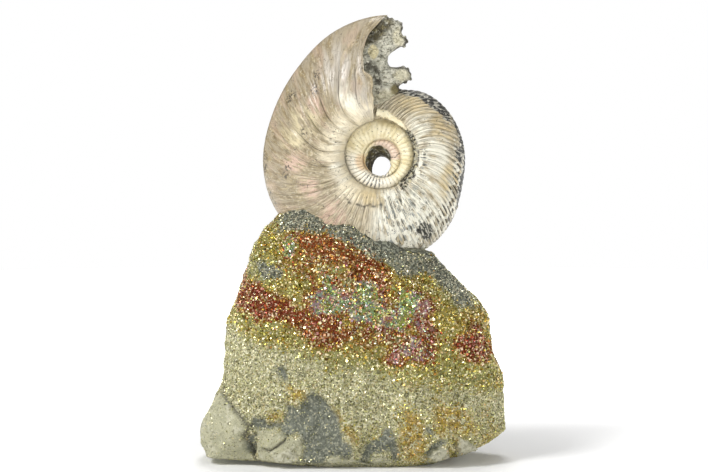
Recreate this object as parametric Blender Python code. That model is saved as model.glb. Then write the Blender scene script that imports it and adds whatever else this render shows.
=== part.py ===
"""A pyritised ammonite, Quenstedtoceras, standing on its stone of clay and pyrite crystals.

Two pieces: the fossil shell with the rock that fills it, and the stone that it is bedded in.
The front faces -Y, +Z is up, and the origin is on the flat patch that the stone stands on, midway
between the stone's two ends.
The spiral is drawn by its progress, in degrees, clockwise from where the last whorl comes out
from under the broken end, so a place with more progress grew later.
"""

import math
import random

import bmesh
import bpy
from mathutils import Euler, Vector, noise

MM = 0.001

# Driving dimensions of the shell, in millimetres and degrees. The keel's radius and the whorl's
# half thickness are given at places along the spiral.
SHELL_CENTRE = (8.6, 0.0, 96.3)
FIRST_ANGLE = 72.4
FIRST_PROGRESS = -50.0
KEEL_RADIUS = [
    (-50, 20.2),
    (0, 22.2),
    (40, 24.6),
    (90, 28.0),
    (130, 32.2),
    (190, 34.3),
    (240, 36.5),
    (275, 36.9),
    (300, 38.9),
    (325, 43.3),
    (345, 45.8),
    (370, 46.5),
]
HALF_THICKNESS = [(-50, 7.6), (0, 8.4), (180, 11.2), (345, 13.4), (370, 13.4)]

# The seam round the navel: its radius, how much larger it is at the top than at the middle, and
# how far the whorl reaches under it. The whorl is built in two stretches that overlap at the
# join, so that the broken end can lie over the place where the spiral starts.
SEAM_RADIUS = 11.0
SEAM_RISE = 1.6
INSIDE_DEPTH = 2.4
JOIN_PROGRESS = (96.0, 104.0)
JOIN_SHRINK = 0.05

# Where the shell is broken off: share of the way from the seam to the keel, and progress there.
BREAK_LINE = [
    (0.0, 334.0),
    (0.12, 336.5),
    (0.3, 337.0),
    (0.42, 338.0),
    (0.5, 332.5),
    (0.7, 333.0),
    (0.83, 336.5),
    (1.0, 346.0),
]

# Half of a whorl's section, from the seam with the whorl inside it to the keel:
# the share of the way out, the share of the whorl's half thickness, and the share of the rib's height.
WHORL_SECTION = [
    (0.0, 0.50, 0.4),
    (0.05, 0.84, 0.7),
    (0.2, 0.99, 0.9),
    (0.42, 0.97, 1.0),
    (0.65, 0.76, 1.0),
    (0.85, 0.43, 0.8),
    (1.0, 0.0, 0.6),
]

# Ribs: degrees from rib to rib on the early and on the grown part, how far a rib leans forward at
# the keel and back on the flank, its height from trough to crest, and where the last ribs start
# to turn into the line of the break.
YOUNG_RIB_STEP = 5.6
GROWN_RIB_STEP = 9.2
GROWN_FROM = 150.0
RIB_SWEEP = 22.0
RIB_BACKSWEEP = 3.0
RIB_HEIGHT = 0.8
BEND_FROM = 262.0

# The inner whorl that shows in the navel: radius, half thickness and share of the rib's height.
INNER_RIBS = 38
INNER_SECTION = [
    (2.6, 3.6, 0.5),
    (5.6, 4.5, 0.5),
    (6.9, 6.0, 1.0),
    (9.4, 6.7, 1.0),
    (11.3, 5.4, 0.5),
    (13.4, 2.5, 0.5),
]
INNER_RIB_HEIGHT = 0.55

# The hole through the navel: its radii across and up, the way it leans from front to back, its
# middle from the shell's centre, and the roughness of its wall.
NAVEL_HOLE_RADII = (4.9, 3.8)
NAVEL_HOLE_LEAN = (2.2, 10.0, -5.0)
NAVEL_HOLE_OFFSET = (0.2, 0.0, -1.7)
NAVEL_HOLE_LENGTH = 40.0
NAVEL_HOLE_SIDES = 14
NAVEL_HOLE_ROUGHNESS = 0.5
NAVEL_HOLE_LUMP_SIZE = 2.5

# The rock that fills the last chamber, drawn from the front about the shell's centre: where it
# broke along the folded wall between two chambers it keeps the rounded lobes of that wall.
# It thins to the right and upwards, and its faces are rough.
FILL_OUTLINE = [
    (-4.2, 43.2),
    (-0.3, 45.6),
    (2.6, 44.8),
    (3.8, 43.4),
    (5.4, 42.9),
    (7.0, 41.0),
    (7.1, 38.7),
    (8.5, 37.3),
    (8.4, 35.7),
    (6.7, 34.7),
    (4.5, 33.3),
    (3.1, 31.2),
    (3.4, 28.8),
    (4.6, 28.0),
    (6.7, 28.1),
    (9.0, 27.8),
    (10.0, 26.4),
    (9.5, 24.5),
    (7.7, 23.4),
    (6.4, 21.8),
    (4.8, 19.2),
    (1.6, 15.7),
    (-2.9, 15.7),
    (-8.6, 20.2),
    (-9.3, 30.4),
    (-8.0, 38.1),
]
FILL_HALF_THICKNESS = 9.2
FILL_THINS_PER_MM = (0.21, 0.165)
FILL_THICKEST = (-8.6, 17.7)
FILL_ROUGHNESS = 1.4
FILL_LUMP_SIZE = 5.0
FILL_LONGEST_EDGE = 6.0

# Driving dimensions of the stone, in millimetres: the height of its top across it, then its left
# and right end and half its depth at shares of that height.
STONE_TOP = [
    (-50, 76.0),
    (-24, 80.4),
    (-16, 81.8),
    (-8, 78.8),
    (4, 73.8),
    (15, 69.2),
    (20, 66.9),
    (50, 65.0),
]
STONE_LEFT = [
    (0.0, -21.5),
    (0.025, -46.5),
    (0.08, -48.6),
    (0.225, -44.5),
    (0.31, -41.6),
    (0.47, -40.0),
    (0.56, -39.0),
    (0.66, -36.5),
    (0.765, -33.2),
    (0.87, -30.8),
    (0.93, -27.6),
    (0.97, -24.4),
    (1.0, -21.4),
]
STONE_RIGHT = [
    (0.0, 28.5),
    (0.045, 38.0),
    (0.08, 44.4),
    (0.14, 48.6),
    (0.28, 48.0),
    (0.42, 46.8),
    (0.54, 45.0),
    (0.65, 44.0),
    (0.72, 41.4),
    (0.80, 36.8),
    (0.873, 32.0),
    (0.92, 29.7),
    (1.0, 25.6),
]
STONE_HALF_DEPTH = [
    (0.0, 18.5),
    (0.03, 21.5),
    (0.14, 24.0),
    (0.4, 21.5),
    (0.7, 16.5),
    (0.9, 12.0),
    (1.0, 8.8),
]
STONE_FOOT_LEVELS = [0.0, 0.028, 0.08]
STONE_LEVEL_COUNT = 14
STONE_SIDES = 50
STONE_SQUARENESS = 2.7

# The stone's surface: lumps and pits all over, and on the front the raised crust of crystals,
# whose lower edge is a height at the middle, a slope and a wave.
LUMP_SIZE = 16.0
LUMP_HEIGHT = 4.2
PIT_SIZE = 6.0
PIT_HEIGHT = 1.7
CRUST_EDGE = (31.0, -0.3)
CRUST_EDGE_WAVE = 4.0
CRUST_EDGE_WAVE_LENGTH = 14.0
CRUST_WRAP = 0.3
CRUST_STEP = 1.1
ENDS_KEEP_LINE = 0.35

# Lumps and hollows on the stone's front: middle across and up, reach across and up, and rise.
FRONT_LUMPS = [
    (-40.0, 11.0, 10.0, 10.0, 2.4),
    (-24.0, 6.0, 9.0, 6.0, 2.2),
    (-2.0, 5.0, 9.0, 5.5, 1.8),
    (30.0, 7.0, 6.0, 6.0, 1.6),
    (-10.0, 15.5, 8.0, 8.5, -2.2),
    (-28.0, 19.0, 7.0, 5.0, -1.4),
    (8.0, 50.0, 16.0, 10.0, 1.6),
    (-16.0, 74.0, 9.0, 8.0, 1.2),
]

# The crystals: the largest ones of the crust, fused to the stone. Half sizes in millimetres;
# the cube's edge, and the pyramid's top and length, are shares of the half size.
CRYSTAL_COUNT = 110
CRYSTAL_HALF_SIZES = (0.8, 1.35)
CRYSTAL_SPACING = 3.6
CRYSTAL_SEED = 11
CRYSTAL_SUNK = 0.3
CUBE_SHARE = 1.6
POINT_SHARE = 0.35
POINT_LENGTH = 1.5

# The bed that the shell lies in: its gap round the ribs, and the stretch of the whorl that it holds.
BED_CLEARANCE = 0.6
BED_PROGRESS = (92.0, 276.0)
BED_STEP = 8.0


def along(knots, at):
    """A smooth curve through the knots, which are pairs of place and value."""
    last = len(knots) - 1
    if at <= knots[0][0]:
        return knots[0][1]
    if at >= knots[last][0]:
        return knots[last][1]
    i = max(k for k in range(last) if knots[k][0] <= at)
    (x0, y0), (x1, y1) = knots[i], knots[i + 1]

    def slope(k):
        low, high = max(k - 1, 0), min(k + 1, last)
        return (knots[high][1] - knots[low][1]) / (knots[high][0] - knots[low][0])

    width = x1 - x0
    t = (at - x0) / width
    rise = y1 - y0
    bend_in = slope(i) * width - rise
    bend_out = rise - slope(i + 1) * width
    return y0 + rise * t + t * (1 - t) * (bend_in * (1 - t) + bend_out * t)


def straight(knots, at):
    """Straight lines through the knots."""
    for (x0, y0), (x1, y1) in zip(knots, knots[1:]):
        if at <= x1:
            return y0 + (y1 - y0) * max(0.0, (at - x0) / (x1 - x0))
    return knots[-1][1]


def clear_scene():
    for obj in list(bpy.data.objects):
        bpy.data.objects.remove(obj)


def new_collection(name):
    collection = bpy.data.collections.new(name)
    bpy.context.scene.collection.children.link(collection)
    return collection


def new_material(name, colour, roughness, metallic):
    material = bpy.data.materials.new(name)
    material.use_nodes = True
    shader = material.node_tree.nodes["Principled BSDF"]
    shader.inputs["Base Color"].default_value = (*colour, 1.0)
    shader.inputs["Roughness"].default_value = roughness
    shader.inputs["Metallic"].default_value = metallic
    return material


def object_from(name, points, faces, collection):
    """A mesh object from points in millimetres, with its faces turned to point out."""
    mesh = bpy.data.meshes.new(name)
    mesh.from_pydata([Vector(p) * MM for p in points], [], faces)
    shape = bmesh.new()
    shape.from_mesh(mesh)
    bmesh.ops.recalc_face_normals(shape, faces=shape.faces)
    if shape.calc_volume(signed=True) < 0:
        bmesh.ops.reverse_faces(shape, faces=shape.faces)
    shape.to_mesh(mesh)
    shape.free()
    obj = bpy.data.objects.new(name, mesh)
    collection.objects.link(obj)
    return obj


def make_helper(obj):
    obj.hide_render = True
    obj.display_type = "WIRE"


def add_boolean(obj, other, operation):
    modifier = obj.modifiers.new(operation.lower() + "_" + other.name, "BOOLEAN")
    modifier.object = other
    modifier.operation = operation
    modifier.solver = "EXACT"
    make_helper(other)


def loft(loops):
    """Faces of a tube through equal closed loops of points, and the points in one list."""
    count = len(loops[0])
    points = [p for loop in loops for p in loop]
    faces = []
    for ring in range(len(loops) - 1):
        for i in range(count):
            j = (i + 1) % count
            low, high = ring * count, (ring + 1) * count
            faces.append((low + i, low + j, high + j, high + i))
    return points, faces


def seam_radius(angle):
    return SEAM_RADIUS + SEAM_RISE * math.sin(angle)


def shell_point(progress, outward, depth, grow=0.0):
    """The point of the shell at this progress, share of the way out, and distance from the middle plane."""
    angle = math.radians(FIRST_ANGLE - progress)
    inner = seam_radius(angle)
    radius = inner + (along(KEEL_RADIUS, progress) - inner) * outward + grow
    cx, cy, cz = SHELL_CENTRE
    return (cx + radius * math.cos(angle), cy + depth, cz + radius * math.sin(angle))


def rib_line(base, outward):
    """Progress of the rib that starts at base. The last ribs turn bit by bit into the line of the break."""
    lean = RIB_SWEEP * outward**2.2 - RIB_BACKSWEEP * math.sin(math.pi * outward)
    if base <= BEND_FROM:
        return base + lean
    share = (base - BEND_FROM) / (BREAK_LINE[0][1] - BEND_FROM)
    return (BEND_FROM + lean) * (1 - share) + straight(BREAK_LINE, outward) * share


def whorl_loop(base, rib, clearance):
    """One closed section of the last whorl: the front flank from seam to keel, then the back."""
    front, back = [], []
    for outward, height, rib_share in WHORL_SECTION:
        progress = rib_line(base, outward)
        ridge = rib * rib_share
        depth = along(HALF_THICKNESS, progress) * height
        if height > 0:
            depth += ridge * math.sqrt(height) + clearance
        grow = ridge * (1 - height) + clearance * outward
        front.append(shell_point(progress, outward, -depth, grow))
        if height > 0:
            back.append(shell_point(progress, outward, depth, grow))
    inside = shell_point(rib_line(base, 0.0), 0.0, 0.0, -INSIDE_DEPTH)
    return front + back[::-1] + [inside]


def whorl_columns():
    """Progress of each section at the seam, at the crest and the trough of each rib in turn."""
    bases = [FIRST_PROGRESS]
    end = BREAK_LINE[0][1]
    while bases[-1] < end:
        step = GROWN_RIB_STEP if bases[-1] > GROWN_FROM else YOUNG_RIB_STEP
        bases.append(bases[-1] + step / 2)
    bases[-1] = end
    return bases


def close_ends(points, faces, count):
    """Faces from the front flank to the back one over both open ends of the tube."""
    flank = len(WHORL_SECTION) - 1
    for first in (0, len(points) - count):
        for i in range(flank):
            low, high = first + i, first + i + 1
            far_low, far_high = first + 2 * flank - i, first + 2 * flank - i - 1
            if i == flank - 1:
                faces.append((low, high, far_low))
            else:
                faces.append((low, high, far_high, far_low))
        faces.append((first, first + 2 * flank, first + count - 1))


def make_whorl(name, low, high, shrink, collection):
    """A stretch of the last whorl. A little shrink keeps it from lying face to face with its neighbour."""
    loops = []
    for i, base in enumerate(whorl_columns()):
        if low <= base <= high:
            rib = RIB_HEIGHT * (0.5 if i % 2 else -0.5)
            loops.append(whorl_loop(base, rib, -shrink))
    points, faces = loft(loops)
    close_ends(points, faces, len(loops[0]))
    return object_from(name, points, faces, collection)


def make_bed_cutter(collection):
    """The smooth hollow that the lower part of the shell lies in, a little larger than the ribs."""
    low, high = BED_PROGRESS
    steps = round((high - low) / BED_STEP)
    bases = [low + (high - low) * i / steps for i in range(steps + 1)]
    loops = [whorl_loop(base, RIB_HEIGHT / 2, BED_CLEARANCE) for base in bases]
    points, faces = loft(loops)
    close_ends(points, faces, len(loops[0]))
    cutter = object_from("shell_bed", points, faces, collection)
    make_helper(cutter)
    return cutter


def make_inner_whorl(collection):
    """The ribbed ring of the older whorl, which fills the navel of the last one."""
    cx, cy, cz = SHELL_CENTRE
    loops = []
    columns = INNER_RIBS * 2
    for i in range(columns):
        turn = math.tau * i / columns
        rib = INNER_RIB_HEIGHT * (0.5 if i % 2 else -0.5)
        front, back = [], []
        for radius, depth, rib_share in INNER_SECTION:
            reach = radius * seam_radius(turn) / SEAM_RADIUS
            x, z = cx + reach * math.cos(turn), cz + reach * math.sin(turn)
            front.append((x, cy - depth - rib * rib_share, z))
            back.append((x, cy + depth + rib * rib_share, z))
        loops.append(front + back[::-1])
    points, faces = loft(loops + loops[:1])
    count = len(loops[0])
    total = columns * count
    faces = [tuple(i % total for i in face) for face in faces]
    return object_from("inner_whorl", points[:total], faces, collection)


def make_navel_hole(collection):
    """The slanting hole where the first whorls have fallen out."""
    lean = Vector(NAVEL_HOLE_LEAN)
    bpy.ops.mesh.primitive_cylinder_add(
        vertices=NAVEL_HOLE_SIDES,
        radius=MM,
        depth=NAVEL_HOLE_LENGTH * MM,
    )
    cutter = bpy.context.active_object
    cutter.name = "navel_hole"
    cutter.scale = (*NAVEL_HOLE_RADII, 1)
    bpy.ops.object.transform_apply(location=False, rotation=False, scale=True)
    for vertex in cutter.data.vertices:
        wobble = noise.noise(vertex.co / (NAVEL_HOLE_LUMP_SIZE * MM)) * NAVEL_HOLE_ROUGHNESS * MM
        vertex.co += Vector((vertex.co.x, vertex.co.y, 0)).normalized() * wobble
    cutter.rotation_mode = "QUATERNION"
    cutter.rotation_quaternion = lean.to_track_quat("Z", "X")
    cutter.location = (Vector(SHELL_CENTRE) + Vector(NAVEL_HOLE_OFFSET)) * MM
    for owner in cutter.users_collection:
        owner.objects.unlink(cutter)
    collection.objects.link(cutter)
    return cutter


def make_fill(collection):
    """The rock in the last chamber: an outline given a thickness that falls away to its lobes."""
    cx, cy, cz = SHELL_CENTRE
    curve = bpy.data.curves.new("fill_outline", "CURVE")
    curve.dimensions = "2D"
    curve.fill_mode = "BOTH"
    curve.extrude = 0.5 * MM
    line = curve.splines.new("POLY")
    line.points.add(len(FILL_OUTLINE) - 1)
    for point, (x, z) in zip(line.points, FILL_OUTLINE):
        point.co = ((x + cx) * MM, (z + cz) * MM, 0, 1)
    line.use_cyclic_u = True
    drawn = bpy.data.objects.new("fill_outline", curve)
    collection.objects.link(drawn)
    drawn.rotation_euler = (math.radians(90), 0, 0)
    bpy.context.view_layer.update()
    graph = bpy.context.evaluated_depsgraph_get()
    mesh = bpy.data.meshes.new_from_object(drawn.evaluated_get(graph))
    mesh.transform(drawn.matrix_world)
    bpy.data.objects.remove(drawn)

    shape = bmesh.new()
    shape.from_mesh(mesh)
    bmesh.ops.remove_doubles(shape, verts=shape.verts, dist=0.01 * MM)
    long_edges = [e for e in shape.edges if e.calc_length() > FILL_LONGEST_EDGE * MM]
    bmesh.ops.subdivide_edges(shape, edges=long_edges, cuts=2)
    bmesh.ops.triangulate(shape, faces=shape.faces)
    for vertex in shape.verts:
        across = vertex.co.x / MM - cx - FILL_THICKEST[0]
        up = vertex.co.z / MM - cz - FILL_THICKEST[1]
        half = FILL_HALF_THICKNESS - FILL_THINS_PER_MM[0] * across - FILL_THINS_PER_MM[1] * up
        side = math.copysign(1, vertex.co.y)
        grain = Vector((vertex.co.x / MM, side * FILL_LUMP_SIZE, vertex.co.z / MM)) / FILL_LUMP_SIZE
        half += FILL_ROUGHNESS * noise.noise(grain)
        vertex.co.y = (cy + half * side) * MM
    bmesh.ops.recalc_face_normals(shape, faces=shape.faces)
    shape.to_mesh(mesh)
    shape.free()
    fill = bpy.data.objects.new("chamber_fill", mesh)
    collection.objects.link(fill)
    return fill


def stone_surface(level, turn):
    """A point of the stone's bare surface, in millimetres, at a share of its height and a turn round it."""
    left, right = straight(STONE_LEFT, level), straight(STONE_RIGHT, level)
    half_depth = straight(STONE_HALF_DEPTH, level)
    power = 2 / STONE_SQUARENESS
    c, s = math.cos(turn), math.sin(turn)
    x = (left + right) / 2 + (right - left) / 2 * math.copysign(abs(c) ** power, c)
    y = half_depth * math.copysign(abs(s) ** power, s)
    z = level * along(STONE_TOP, x)
    return Vector((x, y, z))


def stone_ring(level):
    """Points round the stone at one level, the same distance apart."""
    fine = [stone_surface(level, math.radians(i / 2)) for i in range(721)]
    walked = [0.0]
    for here, there in zip(fine, fine[1:]):
        walked.append(walked[-1] + (there - here).length)
    ring = []
    for i in range(STONE_SIDES):
        wanted = walked[-1] * i / STONE_SIDES
        ring.append(next(p for p, w in zip(fine, walked) if w >= wanted))
    return ring


def crust_starts(x):
    """Height above which the crust of coarse crystals covers the front."""
    start, slope = CRUST_EDGE
    return start + slope * x + CRUST_EDGE_WAVE * noise.noise(Vector((x / CRUST_EDGE_WAVE_LENGTH, 0, 0)))


def on_crust(point):
    """Whether the crust covers this point: the front above its edge, and a little way round the ends."""
    return point.y < CRUST_WRAP * abs(point.x) and point.z > crust_starts(point.x)


def front_lump(point, across, up, reach_across, reach_up, rise):
    """How far one lump lifts the surface at this point."""
    far = ((point.x - across) / reach_across) ** 2 + ((point.z - up) / reach_up) ** 2
    return rise * (1 - far) ** 2 if far < 1 else 0.0


def weathered(point, level):
    """The point moved out or in by the stone's lumps, pits and crust."""
    if level == 0:
        return point
    outward = Vector((point.x * ENDS_KEEP_LINE, point.y, 0)).normalized()
    lump = noise.noise(point / LUMP_SIZE + Vector((3.1, 0, 5.2)))
    pit = noise.noise(point / PIT_SIZE + Vector((0, 7.7, 0)))
    amount = LUMP_HEIGHT * lump + PIT_HEIGHT * pit
    if on_crust(point):
        amount += CRUST_STEP
    if point.y < 0:
        amount += sum(front_lump(point, *shape) for shape in FRONT_LUMPS)
    return point + outward * amount * min(1.0, abs(outward.y) + ENDS_KEEP_LINE)


def make_stone(collection):
    loops = []
    foot = STONE_FOOT_LEVELS[-1]
    steps = range(1, STONE_LEVEL_COUNT + 1)
    levels = STONE_FOOT_LEVELS + [foot + (1 - foot) * i / STONE_LEVEL_COUNT for i in steps]
    for level in levels:
        loops.append([weathered(point, level) for point in stone_ring(level)])
    points, faces = loft(loops)
    faces.append(tuple(range(STONE_SIDES)))
    top_middle = sum(loops[-1], Vector()) / STONE_SIDES
    points.append(top_middle + Vector((0, 0, 1.0)))
    first = len(points) - 1 - STONE_SIDES
    for i in range(STONE_SIDES):
        faces.append((first + i, first + (i + 1) % STONE_SIDES, len(points) - 1))
    return object_from("pyrite_stone", points, faces, collection)


def crystal_seats(stone):
    """Places on the crust for its largest crystals, no two near each other."""
    draw = random.Random(CRYSTAL_SEED)
    seats = []
    crusted = [face for face in stone.data.polygons if on_crust(face.center / MM)]
    while len(seats) < CRYSTAL_COUNT and crusted:
        face = crusted.pop(draw.randrange(len(crusted)))
        corners = [stone.data.vertices[i].co for i in face.vertices]
        weights = [draw.random() + 0.1 for _ in corners]
        place = sum((c * w for c, w in zip(corners, weights)), Vector()) / sum(weights)
        if all((place - other).length > CRYSTAL_SPACING * MM for other, _ in seats):
            seats.append((place, face.normal.copy()))
    return seats


def make_crystals(stone, collection):
    """Cubes and pyramids of pyrite, each turned its own way and partly sunk in the crust."""
    draw = random.Random(CRYSTAL_SEED + 1)
    shape = bmesh.new()
    for i, (place, normal) in enumerate(crystal_seats(stone)):
        half = draw.uniform(*CRYSTAL_HALF_SIZES) * MM
        if i % 2:
            made = bmesh.ops.create_cube(shape, size=half * CUBE_SHARE)["verts"]
        else:
            made = bmesh.ops.create_cone(
                shape,
                cap_ends=True,
                segments=4,
                radius1=half,
                radius2=half * POINT_SHARE,
                depth=half * POINT_LENGTH,
            )["verts"]
        turn = Euler([draw.uniform(0, math.tau) for _ in range(3)]).to_matrix()
        for vertex in made:
            vertex.co = turn @ vertex.co + place - normal * half * CRYSTAL_SUNK
    mesh = bpy.data.meshes.new("crystals")
    shape.to_mesh(mesh)
    shape.free()
    crystals = bpy.data.objects.new("crystals", mesh)
    collection.objects.link(crystals)
    return crystals


def main():
    clear_scene()
    parts = new_collection("ammonite_on_stone")
    helpers = new_collection("cutters_and_joined_shapes")

    nacre = new_material("aragonite_nacre", (0.62, 0.53, 0.42), 0.38, 0.0)
    pyrite = new_material("pyrite_crust", (0.30, 0.24, 0.13), 0.35, 0.7)

    shell = make_whorl("ammonite", JOIN_PROGRESS[0], BREAK_LINE[0][1], 0.0, parts)
    early = make_whorl("early_stretch", FIRST_PROGRESS, JOIN_PROGRESS[1], JOIN_SHRINK, helpers)
    add_boolean(shell, early, "UNION")
    add_boolean(shell, make_inner_whorl(helpers), "UNION")
    add_boolean(shell, make_fill(helpers), "UNION")
    add_boolean(shell, make_navel_hole(helpers), "DIFFERENCE")
    shell.data.materials.append(nacre)

    stone = make_stone(parts)
    add_boolean(stone, make_crystals(stone, helpers), "UNION")
    add_boolean(stone, make_bed_cutter(helpers), "DIFFERENCE")
    stone.data.materials.append(pyrite)


main()
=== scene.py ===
# %% [markdown]
# # A pyritised ammonite on its stone
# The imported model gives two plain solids: `ammonite` and `pyrite_stone`. This lesson dresses them. The shell gets
# its ribs, folds and nacre, the stone gets its clay, its crust of pyrite and many thousand crystals. Every piece is
# built from tables of the same measures that the solids were built from, so it lies where they lie.

# %% Load the frame
import math
from functools import partial

import bmesh
import bpy
import numpy as np
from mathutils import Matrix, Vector, noise


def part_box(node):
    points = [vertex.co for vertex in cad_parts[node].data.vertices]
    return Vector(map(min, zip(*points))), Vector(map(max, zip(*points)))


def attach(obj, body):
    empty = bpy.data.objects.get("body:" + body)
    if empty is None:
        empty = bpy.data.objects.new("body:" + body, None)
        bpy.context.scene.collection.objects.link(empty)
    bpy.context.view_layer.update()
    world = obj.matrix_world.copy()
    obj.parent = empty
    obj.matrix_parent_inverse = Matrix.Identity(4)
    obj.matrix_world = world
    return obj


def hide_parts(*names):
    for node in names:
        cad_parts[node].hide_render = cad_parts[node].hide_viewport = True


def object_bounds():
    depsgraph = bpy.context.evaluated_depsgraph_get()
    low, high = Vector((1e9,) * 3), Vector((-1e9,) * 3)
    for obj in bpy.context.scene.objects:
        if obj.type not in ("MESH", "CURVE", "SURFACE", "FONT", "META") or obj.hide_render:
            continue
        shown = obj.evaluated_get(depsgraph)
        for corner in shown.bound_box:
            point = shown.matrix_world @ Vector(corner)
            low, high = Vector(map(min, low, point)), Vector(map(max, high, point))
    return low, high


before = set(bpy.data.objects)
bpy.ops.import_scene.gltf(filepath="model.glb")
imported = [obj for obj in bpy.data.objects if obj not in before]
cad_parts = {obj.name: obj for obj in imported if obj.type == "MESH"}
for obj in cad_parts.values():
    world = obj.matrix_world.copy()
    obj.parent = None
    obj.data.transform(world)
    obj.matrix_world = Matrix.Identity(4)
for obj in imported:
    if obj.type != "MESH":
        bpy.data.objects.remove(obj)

cad_box = [[float(value) for value in corner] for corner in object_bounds()]
MM = 0.001
print("nodes", sorted(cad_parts), "box", cad_box)

# %% [markdown]
# ## Colours and nodes
# A colour given here is an sRGB hex value, but the shader wants linear light, so one function turns it. Another
# one adds a node: it takes the node's type, what its sockets hold (a value, or another node's output to link), and
# its settings.


# %% A colour, and a node with its links
def linear(hex_colour):
    """An sRGB hex colour as linear red, green, blue and full opacity."""
    shares = [int(hex_colour[i : i + 2], 16) / 255 for i in (1, 3, 5)]
    return (*[v / 12.92 if v <= 0.04045 else ((v + 0.055) / 1.055) ** 2.4 for v in shares], 1.0)


def add(tree, kind, sockets=None, **settings):
    """Add one node. A socket's value is a number or colour, or the output it is linked to."""
    node = tree.nodes.new(kind)
    for name, value in settings.items():
        setattr(node, name, value)
    for socket, value in (sockets or {}).items():
        if isinstance(value, bpy.types.NodeSocket):
            tree.links.new(value, node.inputs[socket])
        else:
            node.inputs[socket].default_value = value
    return node


def new_finish(name, **constants):
    """A material with one Principled shader, whose constant values are set on its own sockets."""
    finish = bpy.data.materials.new(name)
    finish.use_nodes = True
    shader = finish.node_tree.nodes["Principled BSDF"]
    for socket, value in constants.items():
        shader.inputs[socket.replace("_", " ")].default_value = value
    return finish, finish.node_tree, shader


print("white in linear light", linear("#FFFFFF"))

# %% [markdown]
# ## Camera
# The photograph looks almost straight at the front from a little above. A long lens from 0.8 m keeps the same
# slight perspective. One pixel of the photograph is 0.32 mm, which gives the focal length.

# %% Camera
TARGET = Vector((0.0006, 0.0, 0.0716))
CAMERA_DISTANCE = 0.8
CAMERA_ELEVATION = math.radians(4)
PHOTO_WIDTH = 708
MM_PER_PIXEL = 0.32
SENSOR_WIDTH = 36.0

camera_data = bpy.data.cameras.new("camera")
camera_data.sensor_width = SENSOR_WIDTH
camera_data.lens = SENSOR_WIDTH * CAMERA_DISTANCE / (PHOTO_WIDTH * MM_PER_PIXEL * MM)
camera = bpy.data.objects.new("camera", camera_data)
bpy.context.scene.collection.objects.link(camera)
toward_camera = Vector((0, -math.cos(CAMERA_ELEVATION), math.sin(CAMERA_ELEVATION)))
camera.location = TARGET + CAMERA_DISTANCE * toward_camera
camera.rotation_euler = toward_camera.to_track_quat("Z", "Y").to_euler()
bpy.context.scene.camera = camera
print("focal length", round(camera_data.lens, 1), "mm")

# %% [markdown]
# ## Studio
# The background is a white sweep. The camera sees a white world, but the object is lit by a dimmer one, so its
# darks stay dark. A large soft light at the upper left is the key, a weaker one fills from the right, and a few
# small lights give the crystals their glints.

# %% World, floor and lights
CAMERA_WORLD = 1.0
OBJECT_WORLD = 0.30
world = bpy.data.worlds.new("white_sweep")
bpy.context.scene.world = world
world.use_nodes = True
air = world.node_tree
seen = add(air, "ShaderNodeLightPath")
strength = add(
    air,
    "ShaderNodeMapRange",
    {"Value": seen.outputs["Is Camera Ray"], "To Min": OBJECT_WORLD, "To Max": CAMERA_WORLD},
)
air.links.new(strength.outputs[0], air.nodes["Background"].inputs["Strength"])
air.nodes["Background"].inputs["Color"].default_value = (1, 1, 1, 1)

FLOOR_RADIUS = 0.75
sweep, sweep_tree, sweep_shader = new_finish("white_paper_sweep", Roughness=0.9)
sweep_shader.inputs["Base Color"].default_value = linear("#F4F4F4")
sweep_shader.inputs["Emission Color"].default_value = (1, 1, 1, 1)
sweep_place = add(sweep_tree, "ShaderNodeTexCoord").outputs["Object"]
from_middle = add(sweep_tree, "ShaderNodeVectorMath", {0: sweep_place}, operation="LENGTH")
glow = add(
    sweep_tree,
    "ShaderNodeMapRange",
    {"Value": from_middle.outputs["Value"], "From Min": 0.05, "From Max": 0.22, "To Min": 0.04, "To Max": 0.9},
    interpolation_type="SMOOTHSTEP",
)
sweep_tree.links.new(glow.outputs[0], sweep_shader.inputs["Emission Strength"])
bpy.ops.mesh.primitive_circle_add(vertices=128, radius=FLOOR_RADIUS, fill_type="NGON", location=(0, 0, 0))
floor = bpy.context.active_object
floor.name = "floor"
floor.data.materials.append(sweep)

# name, place in metres, size in metres, power in watts
LIGHTS = [
    ("key_upper_left", (-0.60, -0.50, 0.75), 0.30, 7.0),
    ("fill_right", (0.70, -0.60, 0.30), 0.45, 1.5),
    ("top", (0.05, 0.40, 0.90), 0.35, 3.4),
    ("glint_left", (-0.60, -0.50, 0.12), 0.03, 0.30),
    ("glint_high", (0.10, -0.60, 0.75), 0.03, 0.45),
    ("glint_right", (0.45, -0.70, 0.45), 0.03, 0.30),
    ("glint_low", (-0.12, -0.80, 0.05), 0.03, 0.25),
]
for name, place, size, power in LIGHTS:
    light = bpy.data.lights.new(name, "AREA")
    light.size = size
    light.energy = power
    lamp = bpy.data.objects.new(name, light)
    lamp.location = place
    lamp.rotation_euler = (Vector(place) - TARGET).to_track_quat("Z", "Y").to_euler()
    bpy.context.scene.collection.objects.link(lamp)
bpy.context.scene.view_settings.view_transform = "Standard"
print("lights", len(LIGHTS))

# %% [markdown]
# ## Tools for forms
# All the forms are grids of points, worked out in millimetres with numpy and turned into meshes at the end. A smooth
# curve through a few knots describes how a measure changes, and a noise field gives the roughness of rock. Numbers
# that a finish needs, such as how deep a place lies in a groove, are noted on the mesh for its material.


# %% Curves, noise and zones
def smooth_curve(knots, at):
    """A smooth curve through the knots, which are pairs of place and value."""
    x, y = np.array(knots, float).T
    ends = np.arange(len(x))
    low, high = np.maximum(ends - 1, 0), np.minimum(ends + 1, len(x) - 1)
    slope = (y[high] - y[low]) / (x[high] - x[low])
    i = np.clip(np.searchsorted(x, at, side="right") - 1, 0, len(x) - 2)
    width, rise = x[i + 1] - x[i], y[i + 1] - y[i]
    t = np.clip((at - x[i]) / width, 0, 1)
    bend_in, bend_out = slope[i] * width - rise, rise - slope[i + 1] * width
    return y[i] + rise * t + t * (1 - t) * (bend_in * (1 - t) + bend_out * t)


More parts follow.
